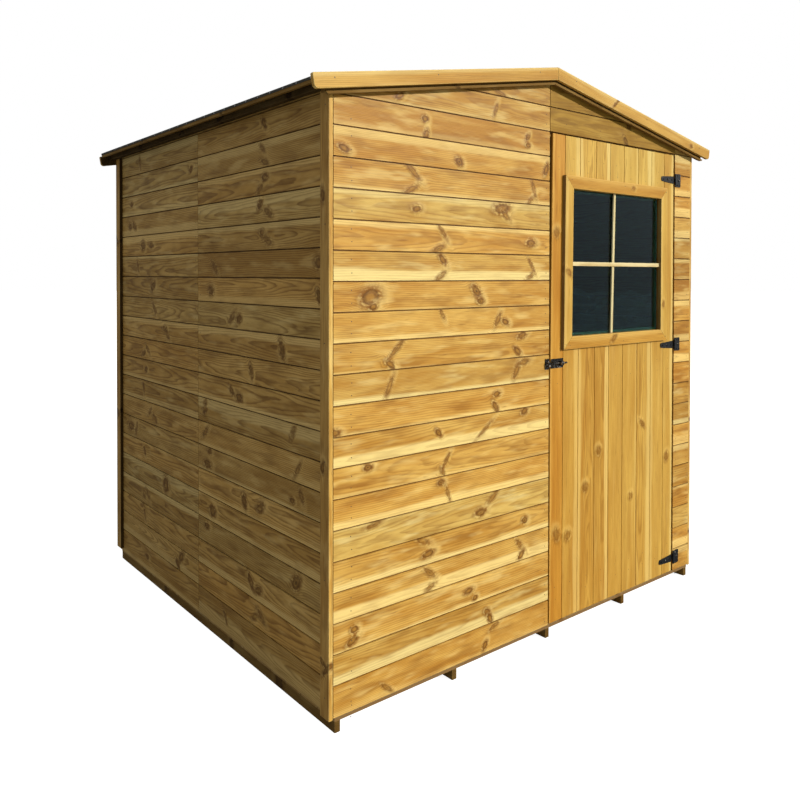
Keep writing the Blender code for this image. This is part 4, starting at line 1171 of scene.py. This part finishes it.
t, r = Timber(), random.Random(545)
for z in (hz0 - 0.010, hz1 + 0.010):
    t.stick((hx1 + 0.020, dhi.y + 0.0155, z), -X, Y, hx1 - hx0 + 0.040, plank(0.020, 0.0150), r, bevel=0.0012, every=0.8, big=0.6)
for x in (hx0 - 0.010, hx1 + 0.010):
    t.stick((x, dhi.y + 0.0155, hz0 + 0.0004), Z, Y, hz1 - hz0 - 0.0008, plank(0.020, 0.0150), r, bevel=0.0012, every=0.8, big=0.6)
# glazing beads that hold the pane from inside
for z in (hz0 + 0.0055, hz1 - 0.0055):
    t.stick((hx1 - 0.0004, ghi.y + 0.0110, z), -X, Y, hx1 - hx0 - 0.0008, plank(0.010, 0.0106), r, bevel=0.0010, knots=[])
for x in (hx0 + 0.0055, hx1 - 0.0055):
    t.stick((x, ghi.y + 0.0110, hz0 + 0.0109), Z, Y, hz1 - hz0 - 0.0218, plank(0.010, 0.0106), r, bevel=0.0010, knots=[])
t.make("window_inner_battens", "door", "sawn", (), "window_frame")

# the pane: bevelled edges, its own material
pane = NODES["door_window_glass"]
pane.data.materials.clear()
pane.data.materials.append(MAT["glass"])
mod = pane.modifiers.new("arris", "BEVEL")
mod.width, mod.segments = 0.0005, 2

# ---------------------------------------------------------------- hidden framing that shows through the door
t, r = Timber(), random.Random(560)
INNER = HALF_W - CLAD_T - 0.0003
END = BACK - CLAD_T - 0.0003
FT, FW = 0.028, 0.044
post_in = INNER - FT
# the front panel's edge stud, studs at the panel joints and bottom rails
t.stick((-post_in + 0.0003 + FW / 2, -END + FT, WALL_Z0), Z, Y, 1.775, plank(FW, FT), r, bevel=0.0018)
for sx in (-1, 1):
    for y in (SIDE_SEAM - FW / 2, SIDE_SEAM + FW / 2 + 0.0004):
        t.stick((sx * (INNER - FT), y, WALL_Z0), Z, X * -sx, 1.748, plank(FW, FT), r, bevel=0.0018)
    for y0, y1 in ((-END + FW + 0.0004, SIDE_SEAM - FW - 0.0004), (SIDE_SEAM + FW + 0.0008, END - FW - 0.0004)):
        for z in (WALL_Z0 + FW / 2, 0.955):
            t.stick((sx * (INNER - FT), y0 if sx < 0 else y1, z), Y if sx < 0 else -Y, X * -sx, y1 - y0, plank(FW, FT), r, bevel=0.0018)
for x in (-FW / 2 - 0.0003, FW / 2 + 0.0003):
    t.stick((x, END - FT, WALL_Z0), Z, -Y, 1.870, plank(FW, FT), r, bevel=0.0018)
for x0, x1 in ((-post_in + 0.0004, -FW - 0.0008), (FW + 0.0008, post_in - 0.0004)):
    for z in (WALL_Z0 + FW / 2, 0.955):
        t.stick((x0, END - FT, z), X, -Y, x1 - x0, plank(FW, FT), r, bevel=0.0018)
t.stick((-post_in + FW + 0.0008, -END + FT, WALL_Z0 + FW / 2), X, Y, post_in - FW - 0.0012 + SEAM_X - FW, plank(FW, FT), r, bevel=0.0018)
# sloping rails under the gables
for sx, down, up in ((-1, DOWN_L, UP_L), (1, DOWN_R, UP_R)):
    base = Vector((0, 0, GABLE_TOP - 0.0006)) - up * (FW / 2)
    for y, face in ((-END + FT + 0.0003 + FT, Y), (END - FT, -Y)):
        run = (post_in - 0.0006) * NORM
        start = base + Vector((0, y, 0))
        along = down if (Vector(face).cross(down)).dot(up) > 0 else -down
        if along != down:
            start = start + down * run
        t.stick(start, along, face, run, plank(FW, FT), r, bevel=0.0,
                clips=[(Vector((sx * 0.0182, 0, 0)), X * -sx)])
# rail under the roof boards along each eave, outside the wall
for sx in (-1, 1):
    top = GABLE_TOP - SLOPE * 0.947 - 0.0008
    rail = Timber()
    rail.stick((sx * 0.962, BACK if sx < 0 else FACE, top - 0.010), -Y if sx < 0 else Y, X * sx, BACK - FACE, plank(0.022, 0.022), r,
               bevel=0.0015, clips=[GABLE_L if sx < 0 else GABLE_R])
    # the near-black deep-shade pine on the rails is painted shade under the eaves
    rail.make(("left" if sx < 0 else "right") + "_eave_rail", "shed", "deep", (), "framing")
# door stops behind the leaf
stop_y = dhi.y + 0.0055
t.stick((SEAM_X + 0.0003 + 0.010, stop_y + 0.020, dlo.z), Z, Y, dhi.z - dlo.z, plank(0.020, 0.020), r, bevel=0.0012)
t.stick((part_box("hinge_jamb")[0].x - 0.0003 - 0.009, stop_y + 0.020, dlo.z), Z, Y, dhi.z - dlo.z, plank(0.018, 0.020), r, bevel=0.0012)
t.stick((SEAM_X + 0.0215, stop_y + 0.020, over0.z - 0.012), X, Y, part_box("hinge_jamb")[0].x - SEAM_X - 0.042, plank(0.020, 0.020), r, bevel=0.0012)
t.make("inner_framing", "shed", "sawn", (), "framing")

# ---------------------------------------------------------------- nails
NAILS_X = (-0.945, -0.565, -0.097, 0.099, 0.540, 0.930)    # along the bargeboards
nails = Bits()
r = random.Random(600)
for k, lo_z, hi_z in courses(FRONT_LINE, WALL_Z0, GABLE_TOP):
    mid = (max(lo_z, FRONT_LINE + k * COURSE) + hi_z) / 2
    for x in (-0.8617, SEAM_X - 0.020):
        for dz in (-0.019, 0.017):
            z = mid + dz + r.uniform(-0.003, 0.003)
            if z < GABLE_TOP - SLOPE * abs(x) - 0.075:
                nails.nail((x + r.uniform(-0.002, 0.002), FACE, z), -Y, 0.0017)
    for x in (0.826, 0.905):
        for dz in (-0.018, 0.018):
            z = mid + dz + r.uniform(-0.003, 0.003)
            if z < GABLE_TOP - SLOPE * abs(x) - 0.075:
                nails.nail((x + r.uniform(-0.002, 0.002), FACE, z), -Y, 0.0015)
    for x in (-0.866, -0.022, 0.022, 0.866):
        for dz in (-0.019, 0.018):
            z = mid + dz + r.uniform(-0.003, 0.003)
            if z < GABLE_TOP - SLOPE * abs(x) - 0.075:
                nails.nail((x, BACK, z), Y, 0.0017)
for x in (0.10, 0.30, 0.52, 0.72):
    for z in (over0.z + 0.012, over0.z + 0.036):
        nails.nail((x + r.uniform(-0.01, 0.01), FACE, z), -Y, 0.0015)
for k, lo_z, hi_z in courses(SIDE_LINE, WALL_Z0, SIDE_TOP):
    mid = (lo_z + hi_z) / 2
    for y in (SIDE_SEAM - 0.020, SIDE_SEAM + 0.022, FACE + 0.062, BACK - 0.062):
        for dz in (-0.018, 0.018):
            if mid + dz < SIDE_TOP - 0.012:
                for sx in (-1, 1):
                    nails.nail((sx * HALF_W, y + r.uniform(-0.002, 0.002), mid + dz + r.uniform(-0.003, 0.003)), X * sx, 0.0016)
for node, sx in (("front_left_trim", -1), ("rear_left_trim", -1), ("front_right_trim", 1), ("rear_right_trim", 1)):
    lo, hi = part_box(node)
    for i in range(6):
        z = lo.z + 0.06 + (hi.z - lo.z - 0.12) * i / 5
        nails.nail((sx * max(abs(lo.x), abs(hi.x)), (lo.y + hi.y) / 2 + r.uniform(-0.004, 0.004), z), X * sx, 0.0019)
for sy in (-1, 1):
    end = "front" if sy < 0 else "rear"
    y_barge = sy * max(abs(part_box(f"{end}_left_bargeboard")[0].y), abs(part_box(f"{end}_left_bargeboard")[1].y))
    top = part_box(f"{end}_left_bargeboard")[1].z
    for x in NAILS_X:
        z = top - SLOPE * abs(x) - 0.022
        nails.nail((x, y_barge, z + 0.006), Y * sy, 0.0021)
nails.make("shed_nails", "shed", "nail")

nails = Bits()
for a, b in zip(joints, joints[1:]):
    for z in (0.128, 0.172, 0.908, 0.952, 1.678, 1.722):
        x = (a + b) / 2 + r.uniform(-0.006, 0.006)
        if hx0 - 0.05 < x < hx1 + 0.05 and hz0 - 0.05 < z < hz1 + 0.05:
            continue
        nails.nail((x, FACE, z), -Y, 0.0013)
for x in (flo_w.x + 0.012, fhi_w.x - 0.012):
    for z in (flo_w.z + 0.018, fhi_w.z - 0.018):
        nails.nail((x, flo_w.y, z), -Y, 0.0017)
for x in (flo_w.x + 0.035, (flo_w.x + fhi_w.x) / 2 + 0.03, fhi_w.x - 0.035):
    for z in (flo_w.z + 0.014, fhi_w.z - 0.014):
        nails.nail((x, flo_w.y, z), -Y, 0.0017)
nails.make("door_nails", "door", "nail")

clouts = Bits()
for sx, up in ((-1, UP_L), (1, UP_R)):
    for i in range(24):
        y = flo.y + 0.03 + (fhi.y - flo.y - 0.06) * i / 23
        p = Vector((sx * 0.138, y, DECK_TOP - SLOPE * 0.138)) + up * 0.0036
        clouts.nail(p, up, 0.0042, 0.0007)
        p = Vector((sx * (eave_x + 0.0016), y, flo.z + 0.0035))
        clouts.nail(p, X * sx, 0.0030, 0.0006)
    for i in range(14):
        x = 0.17 + (0.79) * i / 13
        for y in (flo.y + 0.014, fhi.y - 0.014):
            p = Vector((sx * x, y, DECK_TOP - SLOPE * x)) + up * 0.0018
            clouts.nail(p, up, 0.0042, 0.0007)
clouts.make("felt_clout_nails", "shed", "clout")

# ---------------------------------------------------------------- hinges and tower bolt
for node in ("bottom_hinge_plate", "middle_hinge_plate", "top_hinge_plate", "bottom_hinge_strap", "middle_hinge_strap",
             "top_hinge_strap", "latch_plate", "latch_keeper", "latch_bolt"):
    ob = NODES[node]
    ob.data.materials.clear()
    ob.data.materials.append(MAT["hinge" if "hinge" in node else "latch"])
    mod = ob.modifiers.new("arris", "BEVEL")
    mod.width, mod.segments, mod.limit_method, mod.angle_limit = 0.00045, 2, "ANGLE", math.radians(40)
    mod.harden_normals = False

screws_door, screws_shed = Bits(), Bits()
for label in ("bottom", "middle", "top"):
    lo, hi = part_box(f"{label}_hinge_strap")
    zc = (lo.z + hi.z) / 2
    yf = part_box(f"{label}_hinge_plate")[0].y
    flat_y = FACE - 0.0003 - 0.0020
    for k, (dx, big) in enumerate(((0.0830, False), (0.0520, True), (0.0230, False))):
        x = hi.x - 0.0045 - dx
        if big:
            screws_door.bolt_head((x, flat_y, zc), -Y)
        else:
            screws_door.screw((x, flat_y, zc), -Y, 0.0036, 0.0016, 0.5 + k + zc)
    plo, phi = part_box(f"{label}_hinge_plate")
    for dz in (-0.0195, 0.0, 0.0195):
        for dx in ((0.024,) if dz == 0.0 else (0.014, 0.035)):
            x = phi.x - 0.0385 + dx
            if dz == 0.0:
                screws_shed.bolt_head((x, flat_y, zc + dz), -Y)
            else:
                screws_shed.screw((x, flat_y, zc + dz), -Y, 0.0034, 0.0015, dx * 90 + dz * 50)
llo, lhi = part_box("latch_plate")
lz = (llo.z + lhi.z) / 2
for x in (llo.x + 0.0178, lhi.x - 0.0330):
    for dz in (-0.0115, 0.0115):
        screws_door.screw((x, FACE - 0.0023, lz + dz), -Y, 0.0027, 0.0013, x * 40 + dz * 90)
klo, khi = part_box("latch_keeper")
for dz in (-0.0115, 0.0115):
    screws_shed.screw(((klo.x + khi.x) / 2, FACE - 0.0023, lz + dz), -Y, 0.0026, 0.0013, dz * 60)
screws_door.make("door_screws", "door", "latch", "hinge_metal")
screws_shed.make("shed_screws", "shed", "latch", "hinge_metal")

# ---------------------------------------------------------------- stage, light and camera
s = Shader("pale_floor")
co = s.coords()
a, _ = s.noise(co, 3.0, 0.5, 1.3)
s.put(s.bsdf.inputs["Base Color"], s.mix(a, (0.50, 0.50, 0.49), (0.54, 0.54, 0.53)))
s.bsdf.inputs["Roughness"].default_value = 0.95
s.bsdf.inputs["Specular IOR Level"].default_value = 0.0
glow = s.tree.nodes.new("ShaderNodeEmission")
glow.inputs[0].default_value = (1.0, 1.0, 1.0, 1.0)
glow.inputs[1].default_value = 0.93
both = s.tree.nodes.new("ShaderNodeAddShader")
seen = s.tree.nodes.new("ShaderNodeMixShader")
ray = s.tree.nodes.new("ShaderNodeLightPath")
s.tree.links.new(s.bsdf.outputs[0], both.inputs[0])
s.tree.links.new(glow.outputs[0], both.inputs[1])
s.tree.links.new(ray.outputs["Is Camera Ray"], seen.inputs[0])
s.tree.links.new(s.bsdf.outputs[0], seen.inputs[1])
s.tree.links.new(both.outputs[0], seen.inputs[2])
out = next(n for n in s.tree.nodes if n.type == "OUTPUT_MATERIAL")
s.tree.links.new(seen.outputs[0], out.inputs[0])
bm = bmesh.new()
bmesh.ops.create_circle(bm, cap_ends=True, radius=60.0, segments=96)
me = bpy.data.meshes.new("floor")
bm.to_mesh(me)
bm.free()
me.materials.append(s.mat)
ground = bpy.data.objects.new("stage_floor", me)
ground.location.z = -0.0004
bpy.context.scene.collection.objects.link(ground)
ground.visible_glossy = False

scene = bpy.context.scene
scene.view_settings.view_transform = "Standard"
scene.view_settings.look = "None"
scene.view_settings.exposure = 0.0
scene.view_settings.gamma = 1.0

world = bpy.data.worlds.new("studio")
scene.world = world
world.use_nodes = True
wt = world.node_tree
wt.nodes.clear()
wo = wt.nodes.new("ShaderNodeOutputWorld")
mixer = wt.nodes.new("ShaderNodeMixShader")
path = wt.nodes.new("ShaderNodeLightPath")
sky = wt.nodes.new("ShaderNodeBackground")
sky.inputs[0].default_value = (0.95, 0.98, 1.0, 1.0)
way = wt.nodes.new("ShaderNodeTexCoord")
part = wt.nodes.new("ShaderNodeSeparateXYZ")
ramp = wt.nodes.new("ShaderNodeMapRange")
ramp.interpolation_type = "SMOOTHSTEP"
for key_name, value in (("From Min", -0.35), ("From Max", 0.55), ("To Min", 0.12), ("To Max", 0.52)):
    ramp.inputs[key_name].default_value = value
wt.links.new(way.outputs["Generated"], part.inputs[0])
wt.links.new(part.outputs[2], ramp.inputs["Value"])
wt.links.new(ramp.outputs[0], sky.inputs[1])
white = wt.nodes.new("ShaderNodeBackground")
white.inputs[0].default_value = (1.0, 1.0, 1.0, 1.0)
white.inputs[1].default_value = 1.0
wt.links.new(path.outputs["Is Camera Ray"], mixer.inputs[0])
wt.links.new(sky.outputs[0], mixer.inputs[1])
wt.links.new(white.outputs[0], mixer.inputs[2])
wt.links.new(mixer.outputs[0], wo.inputs[0])

sun = bpy.data.lights.new("key", "SUN")
sun.energy = 3.35
sun.angle = math.radians(4.5)
sun.color = (1.0, 0.965, 0.90)
key = bpy.data.objects.new("key", sun)
toward = Vector((0.62, -1.0, 0.42)).normalized()         # from the shed towards the light
key.rotation_mode = "QUATERNION"
key.rotation_quaternion = toward.to_track_quat("Z", "Y")
scene.collection.objects.link(key)

cam_data = bpy.data.cameras.new("camera")
cam_data.sensor_width = 36.0
cam_data.lens = 34.48
cam_data.shift_y = -0.1433
cam_data.clip_start = 0.05
cam_data.clip_end = 200.0
cam = bpy.data.objects.new("camera", cam_data)
yaw, pitch_a, roll = math.radians(50.977), math.radians(-0.833), math.radians(0.093)
fwd = Vector((math.cos(yaw) * math.cos(pitch_a), math.sin(yaw) * math.cos(pitch_a), math.sin(pitch_a)))
right0 = Vector((math.sin(yaw), -math.cos(yaw), 0.0))
up0 = right0.cross(fwd)
right = right0 * math.cos(roll) + up0 * math.sin(roll)
up = -right0 * math.sin(roll) + up0 * math.cos(roll)
cam.matrix_world = Matrix(((right.x, up.x, -fwd.x, -2.1287), (right.y, up.y, -fwd.y, -2.6490),
                           (right.z, up.z, -fwd.z, 1.3012), (0, 0, 0, 1)))
scene.collection.objects.link(cam)
scene.camera = cam
